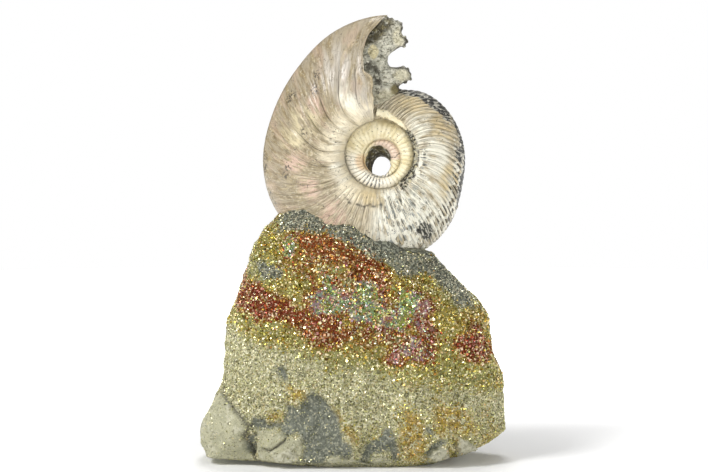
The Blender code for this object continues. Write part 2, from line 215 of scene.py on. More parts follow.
def straight_lines(knots, at):
    x, y = np.array(knots, float).T
    return np.interp(at, x, y)


def soft_step(low, high, value):
    """0 below low, 1 above high, and smooth between them. It falls instead where low is the larger one."""
    t = np.clip((value - low) / (high - low), 0, 1)
    return t * t * (3 - 2 * t)


def rock_noise(points, size, shift=(0.0, 0.0, 0.0)):
    """Smooth noise from about -1 to 1 at points in millimetres, with lumps of this size."""
    places = np.asarray(points, float).reshape(-1, 3) / size + np.array(shift)
    values = np.array([noise.noise(Vector(place)) for place in places.tolist()])
    return values.reshape(np.shape(points)[:-1])


def zone(across, up, middle, reach, tilt=0.0, edge=0.35):
    """1 inside an oval zone, 0 outside it, with a soft edge. The tilt is in degrees."""
    c, s = math.cos(math.radians(tilt)), math.sin(math.radians(tilt))
    dx, dz = across - middle[0], up - middle[1]
    far = np.hypot((dx * c + dz * s) / reach[0], (dz * c - dx * s) / reach[1])
    return soft_step(1 + edge, 1 - edge, far)


def most(ovals, across, up, edge):
    """The strongest of several oval zones. Each has its middle, its reaches and perhaps a tilt."""
    return np.max([zone(across, up, oval[:2], oval[2:4], *oval[4:], edge=edge) for oval in ovals], axis=0)



def distance_to_line(x, z, line, closed=True):
    """Distance in the picture plane from each point to a line of corners."""
    best = np.full(np.shape(x), 1e9)
    ends = line[1:] + line[:1] if closed else line[1:]
    for (x0, z0), (x1, z1) in zip(line, ends):
        dx, dz = x1 - x0, z1 - z0
        t = np.clip(((x - x0) * dx + (z - z0) * dz) / (dx * dx + dz * dz), 0, 1)
        best = np.minimum(best, np.hypot(x - x0 - t * dx, z - z0 - t * dz))
    return best


print("half way up a soft step", soft_step(0, 1, 0.5))


# %% Meshes from grids of points
def grid_faces(columns, rows, closed_columns=False):
    """Quads of a tube: the rows close into a loop, and the columns too where asked."""
    i = np.arange(columns if closed_columns else columns - 1)[:, None]
    j = np.arange(rows)[None, :]
    here, beside = i * rows, ((i + 1) % columns) * rows
    up = (j + 1) % rows
    return np.stack([here + j, here + up, beside + up, beside + j], -1).reshape(-1, 4)


def make_piece(name, points, faces, finishes, smooth=True):
    """A mesh object from points in millimetres, with its faces turned to point out."""
    mesh = bpy.data.meshes.new(name)
    mesh.from_pydata(np.asarray(points, float).reshape(-1, 3) * MM, [], faces)
    shape = bmesh.new()
    shape.from_mesh(mesh)
    bmesh.ops.recalc_face_normals(shape, faces=shape.faces)
    if shape.calc_volume(signed=True) < 0:
        bmesh.ops.reverse_faces(shape, faces=shape.faces)
    shape.to_mesh(mesh)
    shape.free()
    for finish in finishes:
        mesh.materials.append(finish)
    if smooth:
        mesh.shade_smooth()
    piece = bpy.data.objects.new(name, mesh)
    bpy.context.scene.collection.objects.link(piece)
    print(name, len(mesh.vertices), "points", len(mesh.polygons), "faces")
    return piece


def note_on(piece, name, values):
    """Note a number or a place for each point of the mesh, for its material to read."""
    values = np.asarray(values, np.float32)
    if values.ndim > 1 and values.shape[-1] == 3:
        piece.data.attributes.new(name, "FLOAT_VECTOR", "POINT").data.foreach_set("vector", values.ravel())
    else:
        piece.data.attributes.new(name, "FLOAT", "POINT").data.foreach_set("value", values.ravel())


# %% [markdown]
# ## The finishes of the shell
# Ammonite shell is aragonite: thin layers of nacre, cream to white, with a pearly gloss, pink and green tints where
# the layers are just thick enough, and brown stains of iron. Where the outer layers have flaked off, the dark
# rock or pyrite inside shows. The finish lays these over each other, one mask at a time. Streaks follow the ribs,
# so their noise is read along the growth lines and not in plain space.


# %% Patches of noise, and one colour over another
def patches(tree, place, size, low, high, detail=3.0, stretch=(1, 1, 1)):
    """Noise patches of a size in millimetres as a mask: 0 below the low value of the noise, 1 above the high."""
    shares = tuple(1 / (size * s) for s in stretch)
    spread = add(tree, "ShaderNodeVectorMath", {0: place, 1: shares}, operation="MULTIPLY")
    lumps = add(tree, "ShaderNodeTexNoise", {"Vector": spread.outputs[0], "Scale": 1.0, "Detail": detail})
    cut = {"Value": lumps.outputs["Fac"], "From Min": low, "From Max": high}
    return add(tree, "ShaderNodeMapRange", cut, interpolation_type="SMOOTHSTEP").outputs[0]


def both(tree, one, other):
    """A mask where both masks are, or a mask made weaker by a number."""
    return add(tree, "ShaderNodeMath", {0: one, 1: other}, operation="MULTIPLY", use_clamp=True).outputs[0]


def laid_over(tree, under, colour, mask):
    """A colour laid over what is under it where the mask says."""
    top = colour if isinstance(colour, bpy.types.NodeSocket) else linear(colour)
    return add(tree, "ShaderNodeMix", {0: mask, 6: under, 7: top}, data_type="RGBA").outputs[2]


def layered(tree, ground, layers):
    """Layers laid over a ground colour in turn: each has a colour, a strength and the masks that limit it."""
    colour = ground if isinstance(ground, bpy.types.NodeSocket) else linear(ground)
    for top, strength, mask, *others in layers:
        for other in others:
            mask = both(tree, mask, other)
        if strength != 1:
            mask = both(tree, mask, strength)
        colour = laid_over(tree, colour, top, mask)
    return colour


def noted(tree, name, kind="Fac"):
    """What was noted on the mesh under this name: a number, or a Vector."""
    return add(tree, "ShaderNodeAttribute", attribute_name=name).outputs[kind]


def places_in_mm(tree):
    """Places on the object in millimetres."""
    space = add(tree, "ShaderNodeTexCoord")
    return add(tree, "ShaderNodeVectorMath", {0: space.outputs["Object"], 3: 1000.0}, operation="SCALE").outputs[0]


def show(tree, shader, colour, height, depth, strength):
    """Link a colour, and a fine relief of this depth in metres, to the shader."""
    tree.links.new(colour, shader.inputs["Base Color"])
    bump = add(tree, "ShaderNodeBump", {"Height": height, "Distance": depth, "Strength": strength})
    tree.links.new(bump.outputs[0], shader.inputs["Normal"])




# %% Aragonite nacre of the last whorl
nacre, tree, shader = new_finish("aragonite_nacre", Coat_Weight=0.25, Coat_Roughness=0.25)
note, spots = partial(noted, tree), partial(patches, tree, places_in_mm(tree))
streaks = partial(patches, tree, noted(tree, "growth", "Vector"))
flank, chalky = note("left_flank_and_rim_shade"), note("chalky")
# real growth lines are about 0.1 mm apart: a pixel is 0.32 mm, so they are drawn 0.5 and 0.8 mm wide to show
streak = streaks(0.8, 0.46, 0.60, stretch=(0.9, 7, 1))
fine_streak = streaks(0.5, 0.50, 0.57, stretch=(0.9, 6, 1))
specks = both(tree, spots(0.55, 0.62, 0.66, detail=4.0), spots(5.0, 0.50, 0.60))
# cream all over, browner and blotched on the large left flank and darker towards its keel as painted shade, with long
# thin streaks along the growth lines
layers = [
    ("#D9CEB4", 1, spots(9.0, 0.4, 0.6)),
    ("#907E58", 0.8, flank),
    ("#C4B592", 0.5, flank, streaks(2.4, 0.46, 0.64, stretch=(1, 2.5, 1))),
    ("#7A6C4E", 0.5, flank, spots(2.0, 0.52, 0.60, detail=6.0)),
    ("#E2D8C0", 0.45, flank, spots(0.8, 0.54, 0.60)),
    ("#998A6A", 0.36, streak),
    ("#6A5E46", 0.42, fine_streak),
]
# what the zone is, the colour it lays, and how fine the streaks are that break it up
for name, tint, size in [
    ("ivory", "#F4F0DE", 3.0),
    ("cream", "#EBDFC2", 6.0),
    ("grey_beige", "#A4977E", 1.6),
    ("lavender", "#B5AC9C", 2.2),
    ("tan", "#D8C69C", 2.6),
    ("yellow_green", "#D0C39E", 2.2),
    ("salmon", "#CCB09A", 1.4),
]:
    layers.append((tint, 1, note(name), streaks(size, 0.36, 0.56, stretch=(0.8, 2.8, 1))))
squiggle = streaks(1.0, 0.51, 0.55, detail=2.0, stretch=(0.8, 2.2, 1))
bare_rock = layered(tree, "#45443D", [("#CFCBBB", 1, squiggle), ("#2E2D29", 1, spots(1.2, 0.55, 0.6))])
# rose, stains, creases darkened partly by painted shade, blue-grey streaks, chalky white with cracks, bare rock,
# specks and pits
layers += [
    ("#C4A892", 0.35, streaks(3.0, 0.52, 0.66, stretch=(1, 2.5, 1)), flank),
    ("#7F6D4C", 0.5, note("stain"), streaks(0.9, 0.49, 0.58, detail=5.0, stretch=(0.8, 3.5, 1))),
    ("#453E30", 0.95, note("crease_dark_and_shade")),
    ("#8F9694", 0.8, note("blue_streaks"), streaks(0.9, 0.53, 0.58, detail=4.0, stretch=(0.8, 4, 1))),
    ("#474840", 0.85, chalky, streaks(1.1, 0.55, 0.58, detail=5.0, stretch=(0.55, 3.5, 1))),
    ("#F7F4E4", 0.85, chalky, spots(2.0, 0.50, 0.54, stretch=(1, 1, 1.4))),
    (bare_rock, 1, note("bare")),
    ("#4E463A", 0.85, specks),
    ("#3F3A2E", 0.85, note("pits"), spots(0.9, 0.50, 0.55, detail=4.0)),
]
rough = add(tree, "ShaderNodeMapRange", {"Value": streak, "To Min": 0.36, "To Max": 0.52})
tree.links.new(rough.outputs[0], shader.inputs["Roughness"])
grain = {0: both(tree, fine_streak, 0.9), 1: both(tree, specks, 0.4)}
grain = add(tree, "ShaderNodeMath", grain, operation="SUBTRACT").outputs[0]
show(tree, shader, layered(tree, "#CDBF9F", layers), grain, 0.0002, 0.9)
print("nacre nodes", len(tree.nodes))

# %% [markdown]
# The older whorls in the navel are the same aragonite, worn smooth and more yellow, and darker in their creases.
# They could share the nacre's finish, but they have no flaked or chalky zones, so a shorter one is easier to follow.

# %% Aragonite of the inner whorls
inner_nacre, tree, shader = new_finish(
    "aragonite_inner_whorls", Coat_Weight=0.2, Coat_Roughness=0.25, Roughness=0.45
)
note, spots = partial(noted, tree), partial(patches, tree, places_in_mm(tree))
blue_specks = patches(tree, noted(tree, "growth", "Vector"), 0.8, 0.4, 0.52)
colour = layered(
    tree,
    "#EBE1C0",
    [
        ("#DDD0A6", 1, spots(2.5, 0.42, 0.62)),
        ("#F0EADA", 1, note("ivory")),
        ("#DDC3B4", 1, note("salmon")),
        ("#D0A04C", 0.5, note("ochre")),
        ("#55503F", 0.75, note("crease_dark_and_shade")),
        ("#4B535E", 1, note("blue_streaks"), blue_specks),
        ("#5B5643", 0.8, spots(0.7, 0.62, 0.68)),
    ],
)
show(tree, shader, colour, spots(0.4, 0.3, 0.7), 0.0001, 0.6)
print("inner nacre nodes", len(tree.nodes))

# %% [markdown]
# ## Rock inside the shell
# The chambers are filled with calcite and grey clay with grains of pyrite: dull, speckled, olive-brown where iron
# has weathered, and smooth and beige on the lobes that fit into the folds of the chamber wall.

# %% Calcite and clay of the fill
fill_rock, tree, shader = new_finish("calcite_clay_fill", Roughness=0.7)
note, spots = partial(noted, tree), partial(patches, tree, places_in_mm(tree))
colour = layered(
    tree,
    "#C6C4B2",
    [
        ("#DEDAC8", 1, spots(1.8, 0.44, 0.58, detail=4.0, stretch=(1.4, 1, 0.6))),
        ("#77735C", 0.7, spots(1.1, 0.53, 0.60, detail=5.0, stretch=(1.4, 1, 0.6))),
        ("#7A7049", 1, note("olive"), spots(1.6, 0.36, 0.5)),
        ("#E2D7AE", 1, note("beige")),
        # dark rock, and painted shade in a crevice and along the edges of the lobes
        ("#403B2C", 1, note("dark"), spots(1.8, 0.38, 0.5, detail=5.0)),
        ("#D8D5CB", 1, spots(0.6, 0.66, 0.72)),
        ("#3A362C", 0.75, spots(0.8, 0.58, 0.62, detail=6.0), spots(4.0, 0.45, 0.55)),
    ],
)
show(tree, shader, colour, spots(0.9, 0.25, 0.75, detail=6.0), 0.0007, 1.0)
print("fill nodes", len(tree.nodes))

# %% [markdown]
# ## The last whorl
# The shell is a tube wound in a spiral. Its place is told by progress, in degrees round the spiral, and by the share
# of the way out from the seam to the keel. Each column of points runs along one growth line, so ribs, folds and
# streaks lean forward with it. Broad folds cover the inner flank and split outwards into fine ribs.

# %% The spiral's tables, in millimetres and degrees
CENTRE = np.array((8.6, 0.0, 96.3))
FIRST_ANGLE = 72.4
FIRST_PROGRESS = -50.0
KEEL_RADIUS = [(-50, 20.6), (-20, 22.0), (2, 23.7), (16, 25.7), (34, 26.9), (62, 27.6), (90, 28.2), (130, 32.2)]
KEEL_RADIUS += [(190, 34.5), (228, 36.9), (248, 37.1), (275, 36.9)]
KEEL_RADIUS += [(300, 38.9), (325, 43.3), (345, 45.8), (370, 46.5)]
HALF_THICKNESS = [(-50, 7.6), (0, 8.4), (180, 11.2), (345, 13.4), (370, 13.4)]
SEAM_RADIUS = 11.0
SEAM_RISE = 1.6
INSIDE_DEPTH = 2.4
BREAK_LINE = [(0, 334), (0.12, 336.5), (0.3, 337), (0.42, 338), (0.5, 332.5), (0.7, 333), (0.83, 336.5), (1, 346)]
SECTION = [(0, 0.5), (0.05, 0.84), (0.2, 0.99), (0.42, 0.97), (0.65, 0.76), (0.85, 0.43), (0.94, 0.22), (1, 0)]
BREAK_FROM = 314.0
# the last growth lines are sickles: back along the seam, then round and forward, in degrees against the seam's end
SICKLE = [(0, 0), (0.1, -5.0), (0.2, -8.0), (0.3, -7.4), (0.4, -4.8), (0.5, -0.8), (0.6, 2.6), (0.75, 6.2), (1, 11)]
SICKLE_STRENGTH = [(225, 0.0), (248, 0.45), (266, 0.6), (297, 0.75), (314, 1.0), (334, 1.0)]
# how far a growth line leans forward at the keel, in degrees, at places along the spiral
LEAN_AT_KEEL = [(-50, 28), (10, 28), (45, 22), (80, 20), (110, 10), (145, -4), (175, -4)]
LEAN_AT_KEEL += [(205, 4), (235, 14), (262, 10), (300, 2)]
LEAN_POWER = 1.6
BACKSWEEP = 2.0


def seam_radius(angle):
    return SEAM_RADIUS + SEAM_RISE * np.sin(angle)


def shell_place(progress, outward, depth, grow):
    """Points of the shell at this progress, share of the way out and distance from the middle plane."""
    angle = np.radians(FIRST_ANGLE - progress)
    inner = seam_radius(angle)
    radius = inner + (smooth_curve(KEEL_RADIUS, progress) - inner) * outward + grow
    return np.stack([radius * np.cos(angle), depth, radius * np.sin(angle)], -1) + CENTRE


def share_of_break(base):
    """How much a growth line is the line of the break, from 0 to 1."""
    return np.clip((base - BREAK_FROM) / (BREAK_LINE[0][1] - BREAK_FROM), 0, 1)


def growth_line(base, outward):
    """Progress along the growth line that starts at base. The last ones turn into the line of the break."""
    strength = smooth_curve(SICKLE_STRENGTH, base)
    lean = smooth_curve(LEAN_AT_KEEL, base) * outward**LEAN_POWER
    lean = lean - BACKSWEEP * (1 - strength) * np.sin(np.pi * outward) + strength * smooth_curve(SICKLE, outward)
    share = share_of_break(base) ** 1.6
    return (base + lean) * (1 - share) + straight_lines(BREAK_LINE, outward) * share


print("keel radius at the break", round(float(smooth_curve(KEEL_RADIUS, 346.0)), 1), "mm")

# %% [markdown]
# Ribs are ridges of the shell itself. The early part has sharp fine ones all the way out, and the late part has
# broad folds by the navel that split into fine ribs. They are real relief and not only bump, so the outline shows
# them too: each is a curve that is narrow in its groove and broad on its crest.

# %% Ribs and folds
COLUMN_STEP = 0.5
STATIONS = 42
RIB_STEP = 4.4
# where the grooves between folds leave the seam: even at first, closer below, and seven wide ones near the end
FOLD_GROOVES = [*np.arange(-50, 150, 8.8), *np.arange(150, 243, 6.2), 249, 265.5, 281.5, 297, 314, 323.5, 338]
# height of the folds and of the fine ribs in millimetres, at places along the spiral
FOLD_HEIGHT = [(-50, 0.4), (120, 0.5), (170, 0.5), (235, 0.65), (262, 1.0), (300, 1.1), (322, 0.95), (334, 0.3)]
RIB_HEIGHT = [(-50, 0.8), (130, 0.8), (180, 0.34), (240, 0.18), (334, 0.14)]

columns = np.arange(FIRST_PROGRESS, BREAK_LINE[0][1] + 0.01, COLUMN_STEP)
stations = np.linspace(0, 1, STATIONS) ** 1.08
base, outward = np.meshgrid(columns, stations, indexing="ij")
wander = np.array([noise.noise(Vector((q / 17, 3.3, 0))) for q in columns])[:, None]
late = soft_step(160, 250, base)
wavy_base = base + 2.0 * wander * (1 - late)


def ridge(turns, power):
    """Height of a ridge from 0 in its narrow groove to 1 on its broad crest."""
    return 1 - np.abs(2 * (turns % 1.0) - 1) ** power


fold = ridge(np.interp(wavy_base, FOLD_GROOVES, np.arange(len(FOLD_GROOVES))), 2.2 + 1.6 * late)
rib = ridge(wavy_base / RIB_STEP, 2.0)
fold_reach = soft_step(0.02, 0.12, outward) * (1 - late) + soft_step(0.10, 0.30, outward) * late
fold_fade = soft_step(0.62 + 0.28 * late, 0.40 + 0.05 * late, outward)
rib_reach = soft_step(0.25, 0.5, outward) * late + soft_step(0.04, 0.2, outward) * (1 - late)
uneven = 0.8 + 0.5 * rock_noise(np.stack([base * 0.5, outward * 30, base * 0], -1), 9)
fold_height = smooth_curve(FOLD_HEIGHT, base) * fold_reach * fold_fade * uneven
rib_height = smooth_curve(RIB_HEIGHT, base) * rib_reach * uneven * soft_step(1.08, 0.8, outward)
relief = fold_height * (fold - 0.6) + rib_height * (rib - 0.5)
# painted shade: the narrow grooves of folds and ribs are darkened, darkest at the bottom of each groove
crease_dark_and_shade = np.clip(1 - 3.2 * fold, 0, 1) * fold_reach * fold_fade * 0.9 * np.clip(uneven, 0, 1)
crease_dark_and_shade = np.maximum(crease_dark_and_shade, np.clip(1 - 3.1 * rib, 0, 1) * rib_reach * (0.9 - 0.75 * late) * uneven)
print("relief from", relief.min().round(2), "to", relief.max().round(2), "mm")

# %% [markdown]
# The stained, worn and flaked places of the shell are zones, told by progress and share of the way out, with their
# edges broken up by noise. A flaked zone lies lower than the shell round it, by the thickness of the lost layer.

# %% Zones of the shell
# each oval: progress and share of the way out of its middle, then its reach in both
SHELL_ZONES = {
    "ivory": [(70, 0.35, 52, 0.35), (118, 0.5, 22, 0.45), (150, 0.5, 18, 0.6), (264, 0.06, 60, 0.13)]
    # a painted highlight: this ivory oval stands for a gloss on the flank
    + [(316, 0.33, 9, 0.2)],
    "cream": [(270, 0.08, 60, 0.22), (205, 0.06, 30, 0.2)],
    "chalky": [(138, 0.5, 26, 0.6), (85, 0.95, 45, 0.2), (75, 0.12, 30, 0.14)],
    "grey_beige": [(289, 0.80, 22, 0.28), (304, 0.76, 14, 0.35), (325, 0.82, 18, 0.3), (245, 0.9, 34, 0.18)],
    "lavender": [(319, 0.6, 11, 0.3), (328, 0.35, 6, 0.3)],
    "tan": [(14, 0.72, 13, 0.3), (44, 0.7, 15, 0.24), (88, 0.72, 14, 0.18), (175, 0.12, 22, 0.1)],
    "yellow_green": [(281, 0.58, 8, 0.18), (266, 0.66, 7, 0.16)],
    "salmon": [(231, 0.5, 9, 0.11), (208, 0.41, 5, 0.1), (293, 0.54, 5, 0.12), (250, 0.61, 6, 0.14)]
    + [(200, 0.6, 10, 0.2)],
    "stain": [(291, 0.78, 15, 0.2), (306, 0.72, 9, 0.2), (262, 0.8, 12, 0.15), (44, 0.62, 10, 0.2)]
    + [(240, 0.85, 20, 0.1)],
    "blue_streaks": [(143, 0.48, 22, 0.5), (118, 0.3, 12, 0.2), (158, 0.75, 10, 0.3), (72, 0.2, 14, 0.1)],
    "bare": [(8, 0.93, 13, 0.12), (27, 0.91, 19, 0.14), (57, 1.0, 20, 0.08), (69, 0.95, 6, 0.15)]
    + [(130, 0.77, 6, 0.14), (88, 0.98, 16, 0.07)],
    "pits": [(300, 0.67, 3.0, 0.05), (273, 0.54, 3.2, 0.05), (248, 0.69, 2.6, 0.04), (306, 0.76, 2.6, 0.05)]
    + [(259, 0.6, 2, 0.03), (289, 0.61, 2, 0.03), (288, 0.87, 4, 0.05), (243, 0.73, 2.4, 0.035)]
    + [(250, 0.97, 7, 0.025), (233, 0.97, 5, 0.02)],
}
FLAKE_DEPTH = 0.28
# where the outer layer of the shell has its torn end below the navel: across and up in millimetres
LAYER_END = [(-3.0, 85.2), (0, 82.9), (3.2, 81.9), (7.4, 82.1), (10.6, 83.8), (13.1, 86.7)]
LAYER_WOBBLE = 1.3
progress = growth_line(base, outward)
smooth_depth = -smooth_curve(HALF_THICKNESS, progress) * smooth_curve(SECTION, outward)
smooth_places = shell_place(progress, outward, smooth_depth, 0)
ragged = rock_noise(smooth_places, 2.6) * 0.35 + rock_noise(smooth_places, 1.0) * 0.25
shell_notes = {name: most(ovals, progress, outward, edge=0.45) for name, ovals in SHELL_ZONES.items()}
seam_gravel = zone(progress, outward, (60, 0.03), (38, 0.07)) + zone(progress, outward, (100, 0.04), (9, 0.08))
bare = soft_step(0.42, 0.52, shell_notes["bare"] + ragged - 0.12)
bare = np.maximum(bare, soft_step(0.4, 0.6, seam_gravel + ragged))

# dark dashes between the ribs near the keel on the right, and a dark line along the torn end of the layer
dashes = zone(progress, outward, (96, 0.9), (32, 0.17)) * np.clip(1 - 1.15 * rib, 0, 1)
crease_dark_and_shade = np.maximum(crease_dark_and_shade, 1.1 * soft_step(0.22, 0.42, dashes + 0.7 * ragged))
wobble_x = LAYER_WOBBLE * rock_noise(smooth_places, 2.4)
wobble_z = LAYER_WOBBLE * rock_noise(smooth_places, 2.4, (7, 0, 7))
layer_end = distance_to_line(smooth_places[..., 0] + wobble_x, smooth_places[..., 2] + wobble_z, LAYER_END, False)
torn = soft_step(0.45, 0.1, layer_end) * soft_step(-0.5, 0.1, rock_noise(smooth_places, 1.3))
# painted shade: the left flank's brown grows stronger towards the keel, so the flank darkens towards its rim
painted_rim_shade = 0.85 + 0.4 * soft_step(0.45, 0.95, outward)
shell_notes |= {
    "bare": bare,
    "crease_dark_and_shade": np.maximum(crease_dark_and_shade, torn),
    "left_flank_and_rim_shade": late * soft_step(0.1, 0.3, outward) * painted_rim_shade,
}
relief = relief - FLAKE_DEPTH * bare
print("flaked share of the flank", bare.mean().round(3))

# %% [markdown]
# The front flank and its mirror behind make a tube, with a strip inside where it lies on the older whorl. A screw
# modifier could wind such a tube too, but a table of points lets the broken end have its own shape: a rough cap,
# sunk in the middle.

# %% Build the last whorl
CAP_STEPS = 18
BREAK_JAG = 1.4
height = smooth_curve(SECTION, outward)
jag = BREAK_JAG * share_of_break(base) ** 6 * rock_noise(np.stack([outward * 35, outward * 0, outward * 0], -1), 2.2)
progress = progress + jag
depth = smooth_curve(HALF_THICKNESS, progress) * height
lift = relief * np.sqrt(height)
wrinkle = 0.06 * rock_noise(smooth_places, 1.3) + 0.12 * rock_noise(smooth_places, 4.0)
raised = np.where(height > 0, lift + wrinkle * height, 0)
front = shell_place(progress, outward, -depth - raised, relief * (1 - height))
back = shell_place(progress, outward, depth + np.where(height > 0, lift, 0), relief * (1 - height))
inside = shell_place(growth_line(columns, columns * 0), columns * 0, columns * 0, -INSIDE_DEPTH)[:, None]
whorl = np.concatenate([front, back[:, -2::-1], inside], axis=1)
rows = whorl.shape[1]
faces = grid_faces(len(columns), rows).tolist()
points = whorl.reshape(-1, 3)

# the rough face of the fill across the broken end, between the two flanks
first = (len(columns) - 1) * rows
steps = np.arange(1, CAP_STEPS)[None, :, None] / CAP_STEPS
cap = front[-1, :-1, None] * (1 - steps) + back[-1, :-1, None] * steps
growing_way = whorl[-1, :STATIONS] - whorl[-8, :STATIONS]
growing_way /= np.linalg.norm(growing_way, axis=-1, keepdims=True)
sunk = 4 * steps * (1 - steps)
jagged = rock_noise(cap, 4.0) * 1.6 + rock_noise(cap, 1.4) * 0.6 - 0.8
cap = cap + growing_way[:-1, None] * sunk * jagged[..., None]
number = np.full((STATIONS - 1, CAP_STEPS + 1), 0)
number[:, 0] = first + np.arange(STATIONS - 1)
number[:, -1] = first + 2 * (STATIONS - 1) - np.arange(STATIONS - 1)
number[:, 1:-1] = len(points) + np.arange((STATIONS - 1) * (CAP_STEPS - 1)).reshape(STATIONS - 1, -1)
cap_from = len(faces)
for i in range(STATIONS - 2):
    for m in range(CAP_STEPS):
        faces.append((number[i, m], number[i, m + 1], number[i + 1, m + 1], number[i + 1, m]))
for m in range(CAP_STEPS):
    faces.append((number[-1, m], number[-1, m + 1], first + STATIONS - 1))
    faces.append((number[0, m + 1], number[0, m], first + rows - 1))
for i in range(STATIONS - 2):
    far, near = 2 * (STATIONS - 1) - i, 2 * (STATIONS - 1) - i - 1
    faces.append((i, i + 1, near, far))
faces.append((STATIONS - 2, STATIONS - 1, STATIONS))
faces.append((0, 2 * (STATIONS - 1), rows - 1))
last_whorl = make_piece("last_whorl", np.concatenate([points, cap.reshape(-1, 3)]), faces, [nacre, fill_rock])
for polygon in last_whorl.data.polygons[cap_from:]:
    polygon.material_index = 1


def on_whole_whorl(values):
    """Values of the front flank laid also on the back one, and nothing on the inside and the cap."""
    values = np.asarray(values)
    ring = np.concatenate([values, values[:, -2::-1], values[:, :1] * 0], axis=1)
    ring = ring.reshape(-1, *values.shape[2:])
    return np.concatenate([ring, np.zeros((cap.size // 3, *values.shape[2:]))])


for name, values in shell_notes.items():
    note_on(last_whorl, name, on_whole_whorl(values))
# how many millimetres a degree of progress and the whole way out stand for, for the streaks
MM_PER_DEGREE = 0.42
MM_OUTWARD = 27
growth = np.stack([base * MM_PER_DEGREE, outward * MM_OUTWARD, base * 0], -1)
note_on(last_whorl, "growth", on_whole_whorl(growth))
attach(last_whorl, "root")
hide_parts("ammonite")

# %% [markdown]
# ## The inner whorls
# In the navel the older whorls show as two ribbed rings, and the first ones are gone: a slanting hole with a rough
# wall goes right through. One closed ring of points runs from under the last whorl over both rings, through the
# hole and back again.

# %% The hole and the two rings
HOLE_HALF = (4.2, 5.1)
HOLE_MIDDLE = (0.3, -2.1)
HOLE_LEAN = (0.167, -0.367)
HOLE_NARROWS = 0.22
SECOND_SEAM = 5.9
TURNS = 440
MIDDLE_RIBS = 41
FIRST_RIBS = 27
# heights of the ribs on the two rings and behind, the least width of the first ring, and rows of points in the hole
MIDDLE_RIB_HEIGHT = 0.5
FIRST_RIB_HEIGHT = 0.34
BACK_RIB_HEIGHT = 0.45
LEDGE = 0.35
WALL_ROWS = 22


def hole_edge(turn, deep):
    """Distance from the shell's centre to the edge of the hole, at this depth."""
    ox, oz = HOLE_MIDDLE[0] + HOLE_LEAN[0] * deep, HOLE_MIDDLE[1] + HOLE_LEAN[1] * deep
    c, s = np.cos(turn), np.sin(turn)
    narrower = 1 - HOLE_NARROWS * soft_step(-3.0, 1.5, np.asarray(deep, float))
    a, b = HOLE_HALF[0] * narrower, HOLE_HALF[1] * narrower
    square = c**2 / a**2 + s**2 / b**2
    middle = c * ox / a**2 + s * oz / b**2
    rest = ox**2 / a**2 + oz**2 / b**2 - 1
    edge = (middle + np.sqrt(middle**2 - square * rest)) / square
    return np.minimum(edge, seam_radius(turn) - 0.6)


turn = (np.arange(TURNS) * math.tau / TURNS)[:, None]
seam = seam_radius(turn)
second = SECOND_SEAM + 0.86 * np.cos(turn) + 0.35 * np.sin(turn)
ring_profile = [(0, 4.6), (0.04, 5.3), (0.15, 6.2), (0.35, 6.8), (0.6, 7.0), (0.85, 6.3), (1.0, 5.4), (1.5, 2.5)]
inner_profile = [(0, 3.8), (0.08, 4.6), (0.3, 5.3), (0.6, 5.5), (0.9, 4.9), (1.0, 4.3)]
out_share = np.linspace(1.5, 0.0, 46)[None, :]
in_share = np.linspace(0.97, 0.0, 16)[None, :]
front_hole = np.minimum(hole_edge(turn, -4.0), second - LEDGE)
middle_radius = second + (seam - second) * out_share
inner_radius = front_hole + (second - front_hole) * in_share
middle_rib = ridge(turn / math.tau * MIDDLE_RIBS + 0.35 * out_share, 2.2)
inner_rib = ridge(turn / math.tau * FIRST_RIBS + 0.5 * in_share, 2.2)
middle_window = soft_step(0.02, 0.2, out_share) * soft_step(1.15, 0.8, out_share)
inner_window = soft_step(0.0, 0.3, in_share) * soft_step(1.0, 0.85, in_share)
middle_depth = smooth_curve(ring_profile, out_share) + MIDDLE_RIB_HEIGHT * middle_window * (middle_rib - 0.6)
inner_depth = smooth_curve(inner_profile, in_share) + FIRST_RIB_HEIGHT * inner_window * (inner_rib - 0.6)


def ring_points(radius, deep):
    radius, deep = np.broadcast_arrays(radius, deep)
    return np.stack([radius * np.cos(turn), deep, radius * np.sin(turn)], -1) + CENTRE


wall_depths = np.linspace(-3.6, 3.6, WALL_ROWS)[None, :]
wall_radius = np.minimum(hole_edge(turn, wall_depths), second - LEDGE + 0.8 * np.clip(wall_depths + 4, 0, 9))
wall = ring_points(wall_radius, wall_depths + turn * 0)
wall_push = (rock_noise(wall, 2.6) * 0.75 + rock_noise(wall, 1.0) * 0.35)[..., None]
wall_way = wall - CENTRE
wall_way[..., 1] = 0
wall = wall - wall_push * wall_way / np.linalg.norm(wall_way, axis=-1, keepdims=True)
back_hole = wall_radius[:, -1:]
back_share = np.linspace(0.0, 1.0, 40)[None, :]
back_radius = back_hole + (seam + 2.4 - back_hole) * back_share
back_profile = [(0, 3.9), (0.12, 5.6), (0.4, 6.7), (0.6, 6.2), (0.75, 5.2), (1.0, 2.5)]
back_window = soft_step(0, 0.2, back_share) * soft_step(0.9, 0.6, back_share)
back_depth = smooth_curve(back_profile, back_share) + BACK_RIB_HEIGHT * (middle_rib[:, :1] - 0.6) * back_window
rings = [ring_points(middle_radius, -middle_depth), ring_points(inner_radius, -inner_depth), wall]
rings = np.concatenate([*rings, ring_points(back_radius, back_depth)], axis=1)
rows = rings.shape[1]
inner_whorls = make_piece("inner_whorls", rings, grid_faces(TURNS, rows, True), [inner_nacre, fill_rock])
wall_first = out_share.size + in_share.size
print("hole", HOLE_HALF, "mm half axes, rings", rings.shape)


# %% [markdown]
# What the finish has to know of the rings: which creases are darker, where the shell is ivory, rosy, rusty or
# blue-grey, and where the small crack runs. Most of it is told by direction round the navel.


